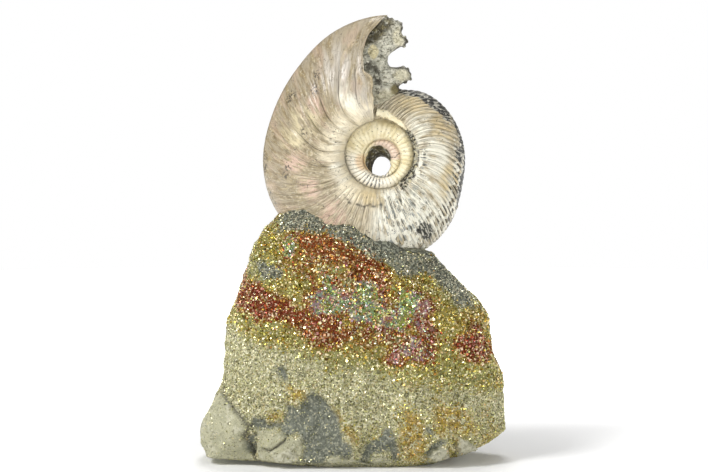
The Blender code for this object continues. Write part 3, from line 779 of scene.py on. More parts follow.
# %% Notes and finishes of the inner whorls
def on_rings(middle, inner, wall_value=0.0, back_value=0.0):
    """Values for the whole closed ring from those of its four stretches."""
    whole = np.zeros((TURNS, rows))
    whole[:, : out_share.size] = middle
    whole[:, out_share.size : wall_first] = inner
    whole[:, wall_first : wall_first + WALL_ROWS] = wall_value
    whole[:, wall_first + WALL_ROWS :] = back_value
    return whole


degrees = np.degrees(turn) % 360


def sector(middle, reach):
    """A zone of directions round the navel, in degrees."""
    return zone(degrees, 0 * degrees, (middle, 0), (reach, 1))


lower, left = sector(262, 42), sector(205, 38)
dark_gaps = np.clip(1 - 2.2 * middle_rib, 0, 1)
seam_dark = soft_step(0.82, 0.98, out_share) * soft_step(1.15, 1.0, out_share)
seam_dark = seam_dark * (0.3 + 0.7 * left) + 0.5 * soft_step(0.12, 0.0, out_share)
seam_dark = seam_dark * soft_step(-0.6, 0.4, rock_noise(ring_points(middle_radius, -middle_depth), 1.6))
inner_gaps = np.clip(1 - 2.4 * inner_rib, 0, 1) * inner_window
middle_crease = np.maximum(dark_gaps * middle_window * (0.22 + 0.78 * left), seam_dark)
rings_crease = on_rings(middle_crease, inner_gaps * 0.7, 0, dark_gaps[:, :1] * 0.5)
NAVEL_CRACK = [(12.3, 97.0), (13.6, 96.9), (14.2, 97.7), (15.2, 98.3)]
from_crack = distance_to_line(rings[..., 0], rings[..., 2], NAVEL_CRACK, False) + 0.3 * np.abs(rock_noise(rings, 0.7))
crack_here = 1.3 * soft_step(0.32, 0.1, from_crack) * (rings[..., 1] < 0)
middle_ochre = zone(degrees, out_share, (190, 0.1), (26, 0.35))
middle_blue = zone(degrees, out_share, (254, 0.45), (24, 0.5)) * soft_step(0.9, 0.3, middle_rib)
round_navel = np.broadcast_to(turn * 9, (TURNS, rows))
ring_notes = {
    "crease_dark_and_shade": np.maximum(rings_crease, crack_here),
    "ivory": on_rings(np.maximum(lower, left) * soft_step(1.1, 0.9, out_share), lower),
    "salmon": on_rings(0, 0.8 * sector(50, 60)),
    "ochre": on_rings(middle_ochre, sector(200, 35)),
    "blue_streaks": on_rings(middle_blue, lower * soft_step(0.8, 0.2, inner_rib)),
    "olive": on_rings(0, 0, 1.0),
    # painted shade: the wall of the hole is darker the deeper it lies in the hole
    "dark": on_rings(0, 0, 0.8 * soft_step(-3.6, -1.0, wall_depths + 0 * turn)),
    "beige": on_rings(0, 0),
    "growth": np.stack([round_navel, np.linalg.norm(rings - CENTRE, axis=-1), 0 * round_navel], -1),
}
for name, values in ring_notes.items():
    note_on(inner_whorls, name, values)
for polygon in inner_whorls.data.polygons:
    station = polygon.index % rows
    polygon.material_index = 1 if wall_first <= station < wall_first + WALL_ROWS else 0
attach(inner_whorls, "root")
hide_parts("ammonite")

# %% [markdown]
# ## The fill of the broken chamber
# The last chamber broke along its folded wall, so its rock ends in two rounded lobes with knobs. The outline is
# extruded, knobs are put against it, and a voxel remesh melts all of them into one closed skin, which is
# then thinned towards its edges and roughened.

# %% Outline and knobs of the fill
FILL_OUTLINE = [
    (-6.6, 38.4), (-3.4, 41.0), (0.6, 44.3), (2.4, 45.0), (5.1, 44.0), (6.9, 43.2), (7.4, 41.9), (7.0, 39.3),
    (8.2, 38.5), (8.7, 37.6), (8.2, 36.4), (6.4, 35.5), (4.0, 34.0), (2.8, 32.6), (2.7, 30.8), (3.3, 29.3),
    (5.7, 29.0), (7.3, 29.2), (9.0, 28.7), (9.9, 27.4), (10.0, 25.9), (8.6, 24.6), (6.8, 24.1), (6.0, 23.2),
    (6.6, 22.2), (5.2, 19.2), (1.6, 15.7), (-2.9, 14.5), (-8.6, 20.2), (-9.3, 30.4),
]
FILL_HALF_THICKNESS = 9.2
FILL_THICKEST = (-8.6, 17.7)
FILL_THINS_PER_MM = (0.21, 0.165)
# knobs of the two lobes: across and up from the shell's centre, and radius
KNOBS = [(7.6, 28.9, 0.6), (9.1, 28.4, 0.7), (9.8, 27.0, 0.7), (9.7, 25.7, 0.7), (8.3, 24.6, 0.7), (6.7, 24.1, 0.7)]
KNOBS += [(6.9, 42.9, 0.6), (7.3, 41.6, 0.6), (6.9, 39.5, 0.5), (8.2, 38.5, 0.6), (8.6, 37.4, 0.6), (7.8, 36.2, 0.6)]
KNOBS += [(5.8, 43.6, 0.6), (4.0, 44.4, 0.6), (2.4, 45.0, 0.5)]


def rounded_shell(name, parts, voxel):
    """Melt the parts, each a list of points and faces, into one closed skin."""
    shape = bmesh.new()
    for points, faces in parts:
        corners = [shape.verts.new(Vector(p) * MM) for p in points]
        for face in faces:
            shape.faces.new([corners[i] for i in face])
    mesh = bpy.data.meshes.new(name)
    shape.to_mesh(mesh)
    shape.free()
    rough = bpy.data.objects.new(name, mesh)
    bpy.context.scene.collection.objects.link(rough)
    melt = rough.modifiers.new("melt", "REMESH")
    melt.mode = "VOXEL"
    melt.voxel_size = voxel * MM
    bpy.context.view_layer.update()
    done = rough.evaluated_get(bpy.context.evaluated_depsgraph_get()).data
    points = np.array([v.co for v in done.vertices]) / MM
    faces = [tuple(p.vertices) for p in done.polygons]
    bpy.data.objects.remove(rough)
    return points, faces


def ball(middle, radius, fineness=2):
    """Points and faces of a small ball, stretched if the radius has three values."""
    shape = bmesh.new()
    bmesh.ops.create_icosphere(shape, subdivisions=fineness, radius=1.0)
    points = [np.array(v.co) * radius + np.array(middle) for v in shape.verts]
    faces = [tuple(v.index for v in face.verts) for face in shape.faces]
    shape.free()
    return points, faces


outline = [(x + CENTRE[0], z + CENTRE[2]) for x, z in FILL_OUTLINE]
count = len(outline)
slab_points = [(x, side * FILL_HALF_THICKNESS, z) for side in (-1, 1) for x, z in outline]
slab_faces = [tuple(range(count)), tuple(range(2 * count - 1, count - 1, -1))]
slab_faces += [(i, i + count, (i + 1) % count + count, (i + 1) % count) for i in range(count)]
parts = [(slab_points, slab_faces)]
for x, z, radius in KNOBS:
    parts.append(ball((x + CENTRE[0], 0, z + CENTRE[2]), np.array((radius, FILL_HALF_THICKNESS, radius))))
points, faces = rounded_shell("chamber_fill", parts, 0.36)
print("fill", len(points), "points before it is thinned")


# %% [markdown]
# The melted slab is as thick everywhere as the whorl is at its thickest. The real fill is a wedge that ends in thin
# lobes, so each point is moved towards the middle plane. Then noise pushes it in and out, less on the lobes, which
# are smooth casts of the chamber wall.


# %% Thin the fill towards its edges and roughen it
def thinned(points):
    """The slab's points moved to the fill's own thickness, which rounds off towards the outline."""
    x, y, z = points.T
    half = FILL_HALF_THICKNESS - FILL_THINS_PER_MM[0] * (x - CENTRE[0] - FILL_THICKEST[0])
    half = half - FILL_THINS_PER_MM[1] * (z - CENTRE[2] - FILL_THICKEST[1])
    inside = np.clip(distance_to_line(x, z, outline) / 2.2, 0, 1)
    rounding = np.sqrt(1 - (1 - inside) ** 2) * 0.45 + 0.55
    return np.stack([x, y / FILL_HALF_THICKNESS * half * rounding, z], -1)


points = thinned(points)
fill = make_piece("chamber_fill", points, faces, [fill_rock])
normals = np.array([v.normal for v in fill.data.vertices])
x, z = points[:, 0] - CENTRE[0], points[:, 2] - CENTRE[2]
lobe = np.maximum(zone(x, z, (7.2, 26.6), (2.6, 1.9)), zone(x, z, (6.2, 38.6), (1.8, 3.2)))
craggy = (1 - 0.85 * lobe) * soft_step(0, 1.5, distance_to_line(points[:, 0], points[:, 2], outline)) + 0.15
push = craggy * (1.3 * rock_noise(points, 4.5) + 0.9 * rock_noise(points, 1.8) + 0.45 * rock_noise(points, 0.9))
moved = points + normals * push[:, None]
fill.data.vertices.foreach_set("co", (moved * MM).ravel())
fill.data.update()
top_rock = zone(x, z, (-1.5, 40.5), (6.5, 2.8), 38)
low_rock = zone(x, z, (5.2, 22.0), (1.8, 2.0))
# painted shade: darker along the lobes' edges and in a crevice between the lobes
fill_edge_shade = soft_step(0.7, 0.2, distance_to_line(points[:, 0], points[:, 2], outline)) * soft_step(3, 6, x)
cream_patch = zone(x, z, (-2.0, 34.0), (1.6, 2.3), edge=0.12)
pale_foot = zone(x, z, (1.8, 19.5), (3.2, 2.6), edge=0.3)
crevice_shade = np.maximum(zone(x, z, (-3.2, 29.6), (1.6, 1.5)), zone(x, z, (-0.6, 26.4), (1.0, 4.4), 12))
note_on(fill, "olive", np.maximum(top_rock, low_rock))
note_on(fill, "beige", np.maximum(np.maximum(lobe * 0.42, 0.4 * pale_foot), cream_patch))
note_on(fill, "dark", np.maximum(np.maximum(fill_edge_shade * 0.9, 0.8 * top_rock), 0.85 * crevice_shade))
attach(fill, "root")
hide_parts("ammonite")

# %% [markdown]
# A torn strip of the last whorl's inner wall still lies along the navel, and gravel of the rock sits where the two
# whorls meet. The strip is a thin flat band swept along a curve. The gravel is a row of small faceted lumps.

# %% The torn strip along the navel
STRIP = [(-0.9, 15.2), (1.5, 14.6), (4.3, 13.3), (6.8, 11.6), (8.6, 9.4)]
STRIP_DEPTHS = [9.0, 8.4, 7.8, 7.6, 7.0]
STRIP_WIDTHS = [1.0, 1.25, 1.05, 0.85, 0.2]
STRIP_STEPS = 150
STRIP_SIDES = 20
at = np.linspace(0, len(STRIP) - 1, STRIP_STEPS)
knots = np.arange(len(STRIP))
sx = smooth_curve(list(zip(knots, [p[0] for p in STRIP])), at)
sz = smooth_curve(list(zip(knots, [p[1] for p in STRIP])), at)
deep = smooth_curve(list(zip(knots, STRIP_DEPTHS)), at)
wide = smooth_curve(list(zip(knots, STRIP_WIDTHS)), at)
along_way = np.stack([np.gradient(sx), np.gradient(sz)], -1)
along_way /= np.linalg.norm(along_way, axis=-1, keepdims=True)
sides = np.linspace(0, math.tau, STRIP_SIDES, endpoint=False)
torn = 1 + 0.28 * rock_noise(np.stack([at * 3, at * 0, at * 0], -1), 1.0)
across = np.cos(sides)[None] * (wide * torn)[:, None]
thick = np.sign(np.sin(sides)) * np.abs(np.sin(sides)) ** 0.6 * 0.75
strip = np.stack(
    [
        sx[:, None] - along_way[:, 1:] * across + CENTRE[0],
        -deep[:, None] - thick[None] + 0 * across,
        sz[:, None] + along_way[:, :1] * across + CENTRE[2],
    ],
    -1,
)
strip = strip + 0.12 * rock_noise(strip, 1.5)[..., None]
last_ring = (STRIP_STEPS - 1) * STRIP_SIDES
faces = grid_faces(len(at), STRIP_SIDES).tolist()
faces += [tuple(range(STRIP_SIDES)), tuple(range(last_ring + STRIP_SIDES - 1, last_ring - 1, -1))]
navel_strip = make_piece("navel_strip", strip, faces, [inner_nacre])
empty = np.zeros(strip.shape[:2])
for name in ("ivory", "salmon", "ochre", "blue_streaks", "crease_dark_and_shade"):
    note_on(navel_strip, name, empty)
note_on(navel_strip, "growth", strip)
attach(navel_strip, "root")
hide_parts("ammonite")


# %% [markdown]
# Crumbs of rock are still stuck in the seam. Bump would be too flat for them, so they are small balls with few
# faces, pushed out of shape one by one and joined into one mesh.

# %% Gravel where the whorls meet
draw = np.random.default_rng(5)
# stretch along the seam: angle from and to in degrees, distance outside the seam, half size, and how many
GRAVEL = [(-32, 46, (-0.1, 1.3), (0.22, 0.5), 230), (-50, -34, (-0.2, 2.0), (0.35, 0.7), 40)]
parts_points, parts_faces = [], []
for start, end, away, half, how_many in GRAVEL:
    for _ in range(how_many):
        angle = math.radians(draw.uniform(start, end))
        out = draw.uniform(*away)
        radius = seam_radius(angle) + out
        here_progress = FIRST_ANGLE - math.degrees(angle)
        reach = float(smooth_curve(KEEL_RADIUS, here_progress)) - seam_radius(angle)
        thickness = float(smooth_curve(SECTION, max(out / reach, 0.012)))
        flank = float(smooth_curve(HALF_THICKNESS, here_progress)) * thickness
        middle = CENTRE + np.array((radius * math.cos(angle), -flank * 0.98, radius * math.sin(angle)))
        pebble, sides_of_it = ball((0, 0, 0), 1.0, fineness=1)
        size = draw.uniform(*half) * draw.uniform(0.7, 1.2, 3)
        pebble = np.array(pebble) * size * (1 + 0.3 * draw.uniform(-1, 1, (len(pebble), 1)))
        offset = sum(len(p) for p in parts_points)
        parts_points.append(pebble + middle)
        parts_faces += [tuple(i + offset for i in face) for face in sides_of_it]
gravel = make_piece("seam_gravel", np.concatenate(parts_points), parts_faces, [fill_rock], smooth=False)
pebbles = len(gravel.data.vertices) // len(pebble)
shade = np.repeat(draw.random(pebbles), len(pebble))
note_on(gravel, "olive", 0.4 * shade)
note_on(gravel, "dark", soft_step(0.4, 0.7, shade))
note_on(gravel, "beige", soft_step(0.3, 0.15, shade) * 0.7)
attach(gravel, "root")
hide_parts("ammonite")

# %% [markdown]
# ## The stone
# The stone is a lump of clay stone. Its form comes from the same tables as the solid: its outline at each level,
# its depth, and lumps and pits of noise. The finer grid then takes small pits, cracks and blocks, which the solid
# leaves out.

# %% The stone's tables, in millimetres
STONE_TOP = [(-50, 76.0), (-24, 80.4), (-16, 81.8), (-8, 78.8), (4, 73.8), (15, 69.2), (20, 66.9), (50, 65.0)]
STONE_LEFT = [(0, -21.5), (0.025, -46.5), (0.08, -48.6), (0.225, -45.0), (0.31, -42.8), (0.47, -40.6), (0.56, -39.0)]
STONE_LEFT += [(0.66, -36.5), (0.765, -33.2), (0.87, -30.8), (0.93, -27.6), (0.97, -24.4), (1.0, -21.4)]
STONE_RIGHT = [(0, 28.5), (0.045, 38.0), (0.08, 44.4), (0.14, 48.6), (0.28, 48.0), (0.42, 46.8), (0.54, 45.0)]
STONE_RIGHT += [(0.65, 44.0), (0.72, 41.4), (0.80, 36.8), (0.873, 32.0), (0.92, 29.7), (1.0, 25.6)]
STONE_HALF_DEPTH = [(0, 18.5), (0.03, 21.5), (0.14, 24.0), (0.4, 21.5), (0.7, 16.5), (0.9, 12.0), (1.0, 8.8)]
STONE_SQUARENESS = 2.7
FRONT_LUMPS = [(-40, 11, 10, 10, 2.4), (-24, 6, 9, 6, 2.2), (-2, 5, 9, 5.5, 1.8), (30, 7, 6, 6, 1.6)]
FRONT_LUMPS += [(-10, 15.5, 8, 8.5, -2.2), (-28, 19, 7, 5, -1.4), (8, 50, 16, 10, 1.6), (-16, 74, 9, 8, 1.2)]
STONE_COLUMNS = 450
STONE_ROWS = 170


def crust_starts(x):
    """Height above which coarse crystals cover the front."""
    line = np.stack([x, 0 * x, 0 * x], -1)
    return 31.0 - 0.2475 * x + 0.0016 * x**2 + 3.0 * rock_noise(line, 11.0)


levels = np.concatenate([[0, 0.012], np.linspace(0.028, 1, STONE_ROWS - 2)])
around = np.radians(np.arange(0, 360.01, 0.25))
loops = []
for level in levels:
    left_end, right_end = straight_lines(STONE_LEFT, level), straight_lines(STONE_RIGHT, level)
    c, s = np.cos(around), np.sin(around)
    power = 2 / STONE_SQUARENESS
    x = (left_end + right_end) / 2 + (right_end - left_end) / 2 * np.sign(c) * np.abs(c) ** power
    y = straight_lines(STONE_HALF_DEPTH, level) * np.sign(s) * np.abs(s) ** power
    ring = np.stack([x, y, level * smooth_curve(STONE_TOP, x)], -1)
    walked = np.concatenate([[0], np.cumsum(np.linalg.norm(np.diff(ring, axis=0), axis=-1))])
    wanted = walked[-1] * np.arange(STONE_COLUMNS) / STONE_COLUMNS
    loops.append(np.stack([np.interp(wanted, walked, ring[:, k]) for k in range(3)], -1))
stone_points = np.array(loops)
print("stone grid", stone_points.shape)

# %% [markdown]
# What covers the stone where: dark slate, rusty ochre, pale clay, small blocks and cracks. Each is drawn with a
# few corners. Noise moves the place that is looked up, so straight edges come out ragged.

# %% Zones of the stone
# each place is an outline on the front, with corners across and up in millimetres
# two of these outlines are painted shadows laid in the slate's colour, marked below
SLATE_AND_SHADOWS = [
    [(-11.9, 24.7), (-9.9, 22.7), (-6.7, 19.9), (-3.5, 15.7), (-2.9, 9.9), (0.3, 6.1), (-1.3, 3.9), (-6.7, 3.5)]
    + [(-9.9, 1.3), (-15.1, -1), (-15.1, 7.7), (-16.7, 10.9), (-21.5, 10.9), (-23.7, 12.5), (-30.7, 11.9)]
    + [(-32.7, 13.1), (-31.7, 16.3), (-27.9, 15.7), (-26.9, 14.1), (-22.7, 14.7), (-21.1, 17.3)]
    + [(-20.2, 21.5), (-17.3, 18.9), (-15.7, 21.1)],
    [(-23.7, 32.3), (-21.5, 32.7), (-20.5, 27.9), (-21.5, 26.9), (-23.1, 28.5), (-22.7, 30.1)],
    # a painted shadow: dark shade at the lower left
    [(-34.3, 9.9), (-31.1, 10.9), (-31.7, 6.7), (-32.7, 3.5), (-34.9, 4.5)],
    [(11.1, 13.5), (13.8, 9.9), (15.0, 5.1), (14.3, 2.6), (12.7, 3.5), (11.5, 5.5), (9.5, 5.1), (6.3, 4.5)]
    + [(4.2, 1.3), (1.9, 1.3), (2.6, 5.5), (5.1, 8.3), (7.9, 9.9)],
    [(22.7, 13.5), (25.0, 13.1), (25.2, 10.3), (23.4, 10.3)],
    # a painted shadow: the shaded top face of a pale block at the foot
    [(21.8, 3.2), (23.6, 6.9), (27.1, 9.2), (28.9, 8.0), (26.5, 6.2), (24.0, 4.5)],
]
OCHRE = [
    [(14.5, 16.0), (19.0, 18.5), (22.3, 14.5), (22.7, 7.7), (21.1, 2.0), (15.5, 2.0), (15.0, 9.3)],
    [(25.0, 18.0), (30.7, 20.5), (38.1, 17.5), (40.3, 10.9), (36, 9.6), (33, 10.9), (26.6, 9.9)],
    [(39.5, 5.5), (40.5, 9.5), (47.9, 11.5), (46.0, 5.0)],
    [(29.4, 9.0), (32.3, 9.4), (32.3, 1.0), (30.2, 1.0)],
    [(-20.5, 26.3), (-15.1, 24.7), (-14.7, 22.1), (-19.5, 19.9)],
    [(-26.3, 17.3), (-22.1, 17.3), (-22.7, 14.7), (-26.9, 14.7)],
    [(-5.5, 19.5), (1.9, 11.9), (1.9, 7.7), (-2.3, 10.9)],
]
BEIGE = [
    [(-42.3, 22.6), (-38.7, 20.6), (-33.9, 15.6), (-32.5, 12.5), (-34.9, 9.3), (-33.3, 3.5), (-29.1, -1)]
    + [(-52, -1), (-52, 14)],
    [(-31.1, 11.9), (-22.7, 11.5), (-15.7, 9.3), (-15.4, -1), (-25.3, -1), (-31.1, 4.5)],
    [(-9.9, 0.7), (-5.1, 3.5), (-0.3, 3.9), (2.6, 3.5), (2.6, -1), (-9.9, -1)],
    [(22.3, 2.3), (24.6, 5.0), (27.1, 6.7), (29.8, 2.3), (24.3, -0.5)],
    [(32.3, 4.1), (33, 9.9), (37.8, 6.1), (39.4, 2.9), (35.1, 0.5), (32.6, 1.0)],
    [(5.1, 3.5), (11.5, 3.5), (13.1, 1.3), (5.1, -1)],
]
# the lit faces of the pale blocks at the foot: raised, and painted paler as a highlight
LIT_BLOCK_FACES = [
    [(22.6, 3.7), (26.2, 6.5), (28.2, 6.9), (29.8, 2.9), (24.6, 1.7)],
    [(32.6, 2.9), (32.6, 9.0), (33.8, 9.9), (37.8, 5.8), (39.4, 3.7), (37.8, 2.1), (32.6, 1.3)],
    [(-24.5, 4.0), (-18.5, 6.8), (-16.4, 3.0), (-21.6, 0.2)],
]
# cracks on the front: corners across and up
CRACKS = [
    [(-42.8, 24.5), (-40.6, 21.8), (-38.1, 19.5), (-34.9, 16.4), (-32.6, 13.2), (-34.4, 9.0), (-33.0, 3.8)]
    + [(-30.0, 0.5)],
    [(-29.0, 6.2), (-26.0, 5.4), (-22.8, 7.2), (-20.8, 9.6)],
    [(31.2, 9.6), (32.0, 5.0), (31.4, 1.0)],
]


def past_the_edge(points):
    """How far places lie behind the line between the stone's front and its back, in millimetres."""
    return points[..., 1] - 0.3 * np.abs(points[..., 0])


def is_inside(x, z, line):
    """Whether points lie inside a closed line: a ray from each crosses it an odd number of times."""
    inside = np.zeros(np.shape(x), bool)
    for (x0, z0), (x1, z1) in zip(line, line[1:] + line[:1]):
        if z0 != z1:
            inside ^= ((z0 > z) != (z1 > z)) & (x < x0 + (z - z0) * (x1 - x0) / (z1 - z0))
    return inside


def within(lines, x, z, edge):
    """1 inside any of the outlines, 0 outside, over an edge of this half width in millimetres."""
    most_here = np.zeros(np.shape(x))
    for line in lines:
        away = distance_to_line(x, z, line)
        most_here = np.maximum(most_here, soft_step(-edge, edge, np.where(is_inside(x, z, line), away, -away)))
    return most_here


def stone_zones(points):
    """Crust, slate with painted shadows, ochre and beige on the stone at these points."""
    jitter = np.stack([rock_noise(points, 4.0), rock_noise(points, 4.0, (9, 2, 4))], -1) * 0.9
    jitter += np.stack([rock_noise(points, 1.5), rock_noise(points, 1.5, (3, 8, 4))], -1) * 0.7
    x, z = points[..., 0] + jitter[..., 0], points[..., 2] + jitter[..., 1]
    front_side = past_the_edge(points) < 0
    crust = soft_step(-2.6, 2.6, z + jitter[..., 0] * 2 - crust_starts(x))
    crust = crust * soft_step(1.5, -1.5, past_the_edge(points) + 9 * rock_noise(points, 7.0, (5, 1, 5)))
    slate_and_shadow, ochre, beige = within(SLATE_AND_SHADOWS, x, z, 0.7), within(OCHRE, x, z, 1.8), within(BEIGE, x, z, 0.3)
    grey_clouds = rock_noise(points, 17.0, (5, 5, 5)) + 0.5 * rock_noise(points, 3.0, (5, 5, 5))
    slate_and_shadow = np.where(front_side, slate_and_shadow, 0.6 * soft_step(0.0, 0.5, grey_clouds))
    return crust, slate_and_shadow, ochre * front_side, beige * front_side


# %% [markdown]
# A plain stack of rings looks turned on a lathe. Large and small noise gives it lumps and pits, the slate lies a
# little lower, the crust a little higher, and the back is a rough break. In the end every point is kept inside the
# solid's box.

# %% Weather the stone
flat = stone_points.reshape(-1, 3)
crust, slate_and_shadow, ochre, beige = stone_zones(flat)
facing = np.stack([flat[:, 0] * 0.35, flat[:, 1], 0 * flat[:, 1]], -1)
facing /= np.maximum(np.linalg.norm(facing, axis=-1, keepdims=True), 1e-6)
amount = 4.2 * rock_noise(flat, 16.0, (3.1, 0, 5.2)) + 1.7 * rock_noise(flat, 6.0, (0, 7.7, 0)) + 1.1 * crust
for across_mm, up_mm, reach_x, reach_z, rise in FRONT_LUMPS:
    far = ((flat[:, 0] - across_mm) / reach_x) ** 2 + ((flat[:, 2] - up_mm) / reach_z) ** 2
    amount += np.where((far < 1) & (flat[:, 1] < 0), rise * (1 - np.minimum(far, 1)) ** 2, 0)
calm = 1 - 0.6 * beige
front_half = flat[:, 1] < 0
amount += calm * (0.8 * rock_noise(flat, 3.2, (2, 1, 0)) + 0.42 * rock_noise(flat, 1.3, (0, 3, 1)))
amount -= 0.9 * slate_and_shadow * front_half - 0.7 * beige
cracked = np.zeros(len(flat))
for line in CRACKS:
    wobble = 0.6 * rock_noise(flat, 2.0, (1, 1, 1))
    cracked = np.maximum(cracked, soft_step(0.6, 0.1, distance_to_line(flat[:, 0] + wobble, flat[:, 2], line, False)))
cracked *= front_half
behind = soft_step(-3.0, 3.0, past_the_edge(flat) + 7 * rock_noise(flat, 8.0, (1, 9, 1)))
lit_block_face = within(LIT_BLOCK_FACES, flat[:, 0] + wobble * 0.7, flat[:, 2], 0.35) * front_half
amount += 1.4 * lit_block_face
broken_away = rock_noise(flat, 15.0, (8, 2, 2)) + 0.35 * rock_noise(flat, 2.5, (1, 1, 7))
bare_break = behind * soft_step(-0.25, 0.05, broken_away)
hollows = 2.6 * np.abs(rock_noise(flat, 13.0, (6, 6, 6))) + 1.0 * np.abs(rock_noise(flat, 5.0, (2, 2, 2)))
amount -= behind * hollows
amount -= 0.8 * cracked
weight = np.minimum(1.0, np.abs(facing[:, 1]) + 0.35) * soft_step(0.0, 0.02, np.repeat(levels, STONE_COLUMNS))
flat = flat + facing * (amount * weight)[:, None]
CLEARANCE = 0.05
stone_low, stone_high = np.array(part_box("pyrite_stone")) / MM
flat = np.clip(flat, stone_low + CLEARANCE, stone_high - CLEARANCE)
flat[:STONE_COLUMNS, 2] = 0.0
print("stone from", flat.min(axis=0).round(1), "to", flat.max(axis=0).round(1))

# %% [markdown]
# ## Tarnish
# Pyrite tarnishes in a thin film, and the thickness of the film makes the colour, as on a soap bubble or on heated
# steel: bare grey pyrite first, then brass, gold, copper red, crimson, violet, blue and green. So one number, the
# film, is worked out for every place on the crust, and a single ramp turns it to colour. Each crystal has a film
# a little thicker or thinner than its neighbour, which gives the mixed sparkle.

# %% The film on the crust
FILM_COLOURS = [
    (0.00, "#9DA08F"),
    (0.07, "#C6C49A"),
    (0.15, "#C9CA7C"),
    (0.22, "#C2AE48"),
    (0.32, "#C09048"),
    (0.42, "#B5653A"),
    (0.52, "#A03E30"),
    (0.60, "#E8A69C"),
    (0.68, "#DAB8CC"),
    (0.78, "#B8D6C8"),
    (0.87, "#A8D290"),
    (0.95, "#CCD87C"),
]
# across, up, reach across, reach up, tilt, film, and how much neighbours differ; later zones lie over earlier ones
FILM_ZONES = [
    (-26.9, 69.6, 8.5, 5.0, 0, 0.20, 0.08),
    (-31.0, 62.0, 6.5, 5.4, 0, 0.12, 0.06),
    (-13.5, 61.5, 9.0, 5.5, -20, 0.33, 0.16),
    (-18.5, 57.5, 9.0, 3.0, -25, 0.20, 0.07),
    (-7.9, 69.6, 12.5, 4.6, -20, 0.42, 0.05),
    (6.0, 58.3, 5.6, 10.7, 10, 0.43, 0.06),
    (-31.9, 53.8, 5.0, 4.0, 0, 0.50, 0.05),
    (-24.3, 49.4, 13.0, 4.6, -12, 0.50, 0.05),
    (-7.5, 43.0, 9.5, 5.4, -18, 0.46, 0.08),
    (7.4, 42.2, 9.6, 4.4, 0, 0.37, 0.22),
    (-5.4, 59.5, 7.0, 4.6, 0, 0.30, 0.24),
    (-6.5, 52.5, 6.5, 5.0, 0, 0.79, 0.24),
    (4.5, 51.5, 5.4, 5.6, 0, 0.87, 0.22),
    (17.3, 51.9, 3.4, 6.9, 0, 0.90, 0.12),
    (12.0, 46.5, 6.5, 4.0, 0, 0.84, 0.28),
    (23.0, 47.5, 3.1, 6.5, 15, 0.66, 0.12),
    (19.9, 38.0, 6.9, 3.8, 0, 0.58, 0.22),
    (13.5, 33.0, 3.6, 2.8, 0, 0.64, 0.10),
    (18.6, 59.5, 5.7, 3.8, 0, 0.24, 0.06),
    (29.8, 46.9, 6.4, 4.2, 0, 0.21, 0.06),
    (38.2, 47.5, 6.0, 3.0, 0, 0.24, 0.07),
    (39.4, 38.0, 6.4, 5.3, 0, 0.505, 0.05),
    (-19.6, 68.8, 2.0, 3.2, 0, 0.90, 0.22),
    (-8.2, 59.2, 1.8, 2.2, 0, 0.84, 0.22),
    (36.9, 29.8, 10.5, 3.4, -5, 0.15, 0.05),
    (-31.9, 45.6, 9.0, 1.9, -15, 0.14, 0.03),
    (3.4, 31.6, 17.4, 3.8, -12, 0.15, 0.06),
]
GREY_BAND = [(-16.1, 78.4, 13, 4.6, -5), (3.4, 71.4, 12.6, 4.2, -22), (20.5, 65.4, 12.6, 5.6, -20)]
GREY_BAND += [(33.5, 57.0, 4.2, 9.5, 30), (-26.5, 62.0, 4.6, 2.0, -35)]
CRUST_FILM = 0.18
CRUST_SPREAD = 0.07
PALE_FILM = 0.075
# round the sides the zones climb on the left and drop on the right, in millimetres for each one of depth
SIDE_SLANT = 0.55


def film_at(points, crust):
    """The film's thickness at these places, how much neighbours differ, and whether it is the fine grey band."""
    x = points[:, 0] + 2.4 * rock_noise(points, 6.0, (4, 0, 0)) + 0.9 * rock_noise(points, 2.0, (0, 4, 0))
    z = points[:, 2] + 2.4 * rock_noise(points, 6.0, (0, 0, 6)) + 0.9 * rock_noise(points, 2.0, (0, 0, 9))
    z = z + SIDE_SLANT * np.maximum(points[:, 1] + 9, 0) * np.sign(points[:, 0])
    film, spread = np.full(len(points), CRUST_FILM), np.full(len(points), CRUST_SPREAD)
    for at_x, at_z, reach_x, reach_z, tilt, value, differ in FILM_ZONES:
        inside = zone(x, z, (at_x, at_z), (reach_x, reach_z), tilt, 0.28)
        film += (value - film) * inside
        spread += (differ - spread) * inside
    grey = most(GREY_BAND, x, z, 0.12)
    pale = 1 - crust
    film += 2.3 * np.maximum(spread - 0.08, 0) * rock_noise(points, 3.0, (2, 6, 1))
    gold_dust = soft_step(0.05, 0.45, rock_noise(points, 5.0, (6, 1, 1))) * (points[:, 1] < 0)
    gold_dust = gold_dust * soft_step(-8, 26, points[:, 0])
    film = film * (1 - pale) + (PALE_FILM + 0.13 * gold_dust) * pale
    spread = spread * (1 - pale) + (0.02 + 0.03 * gold_dust) * pale
    return film * (1 - grey), spread * (1 - grey) + 0.012 * grey, grey


film, spread, grey = film_at(flat, crust)
film += (0.27 - film) * 0.8 * ochre * (1 - crust)
print("film from", film.min().round(2), "to", film.max().round(2))

# %% [markdown]
# The stone is grey-green clay stone: dull, rough, and so full of pyrite dust that it looks like sand. One finish
# covers all of it, because its kinds of rock run into each other: each is a colour with grains of its own, laid
# over the others where its zone is. Between the crystals the floor of the crust is partly metal and painted dark as
# shade.
# Real grains are about 0.1 to 0.3 mm wide. Here they are drawn 0.6 to 0.9 mm wide, about two pixels, so that they
# show: a pixel is 0.32 mm.

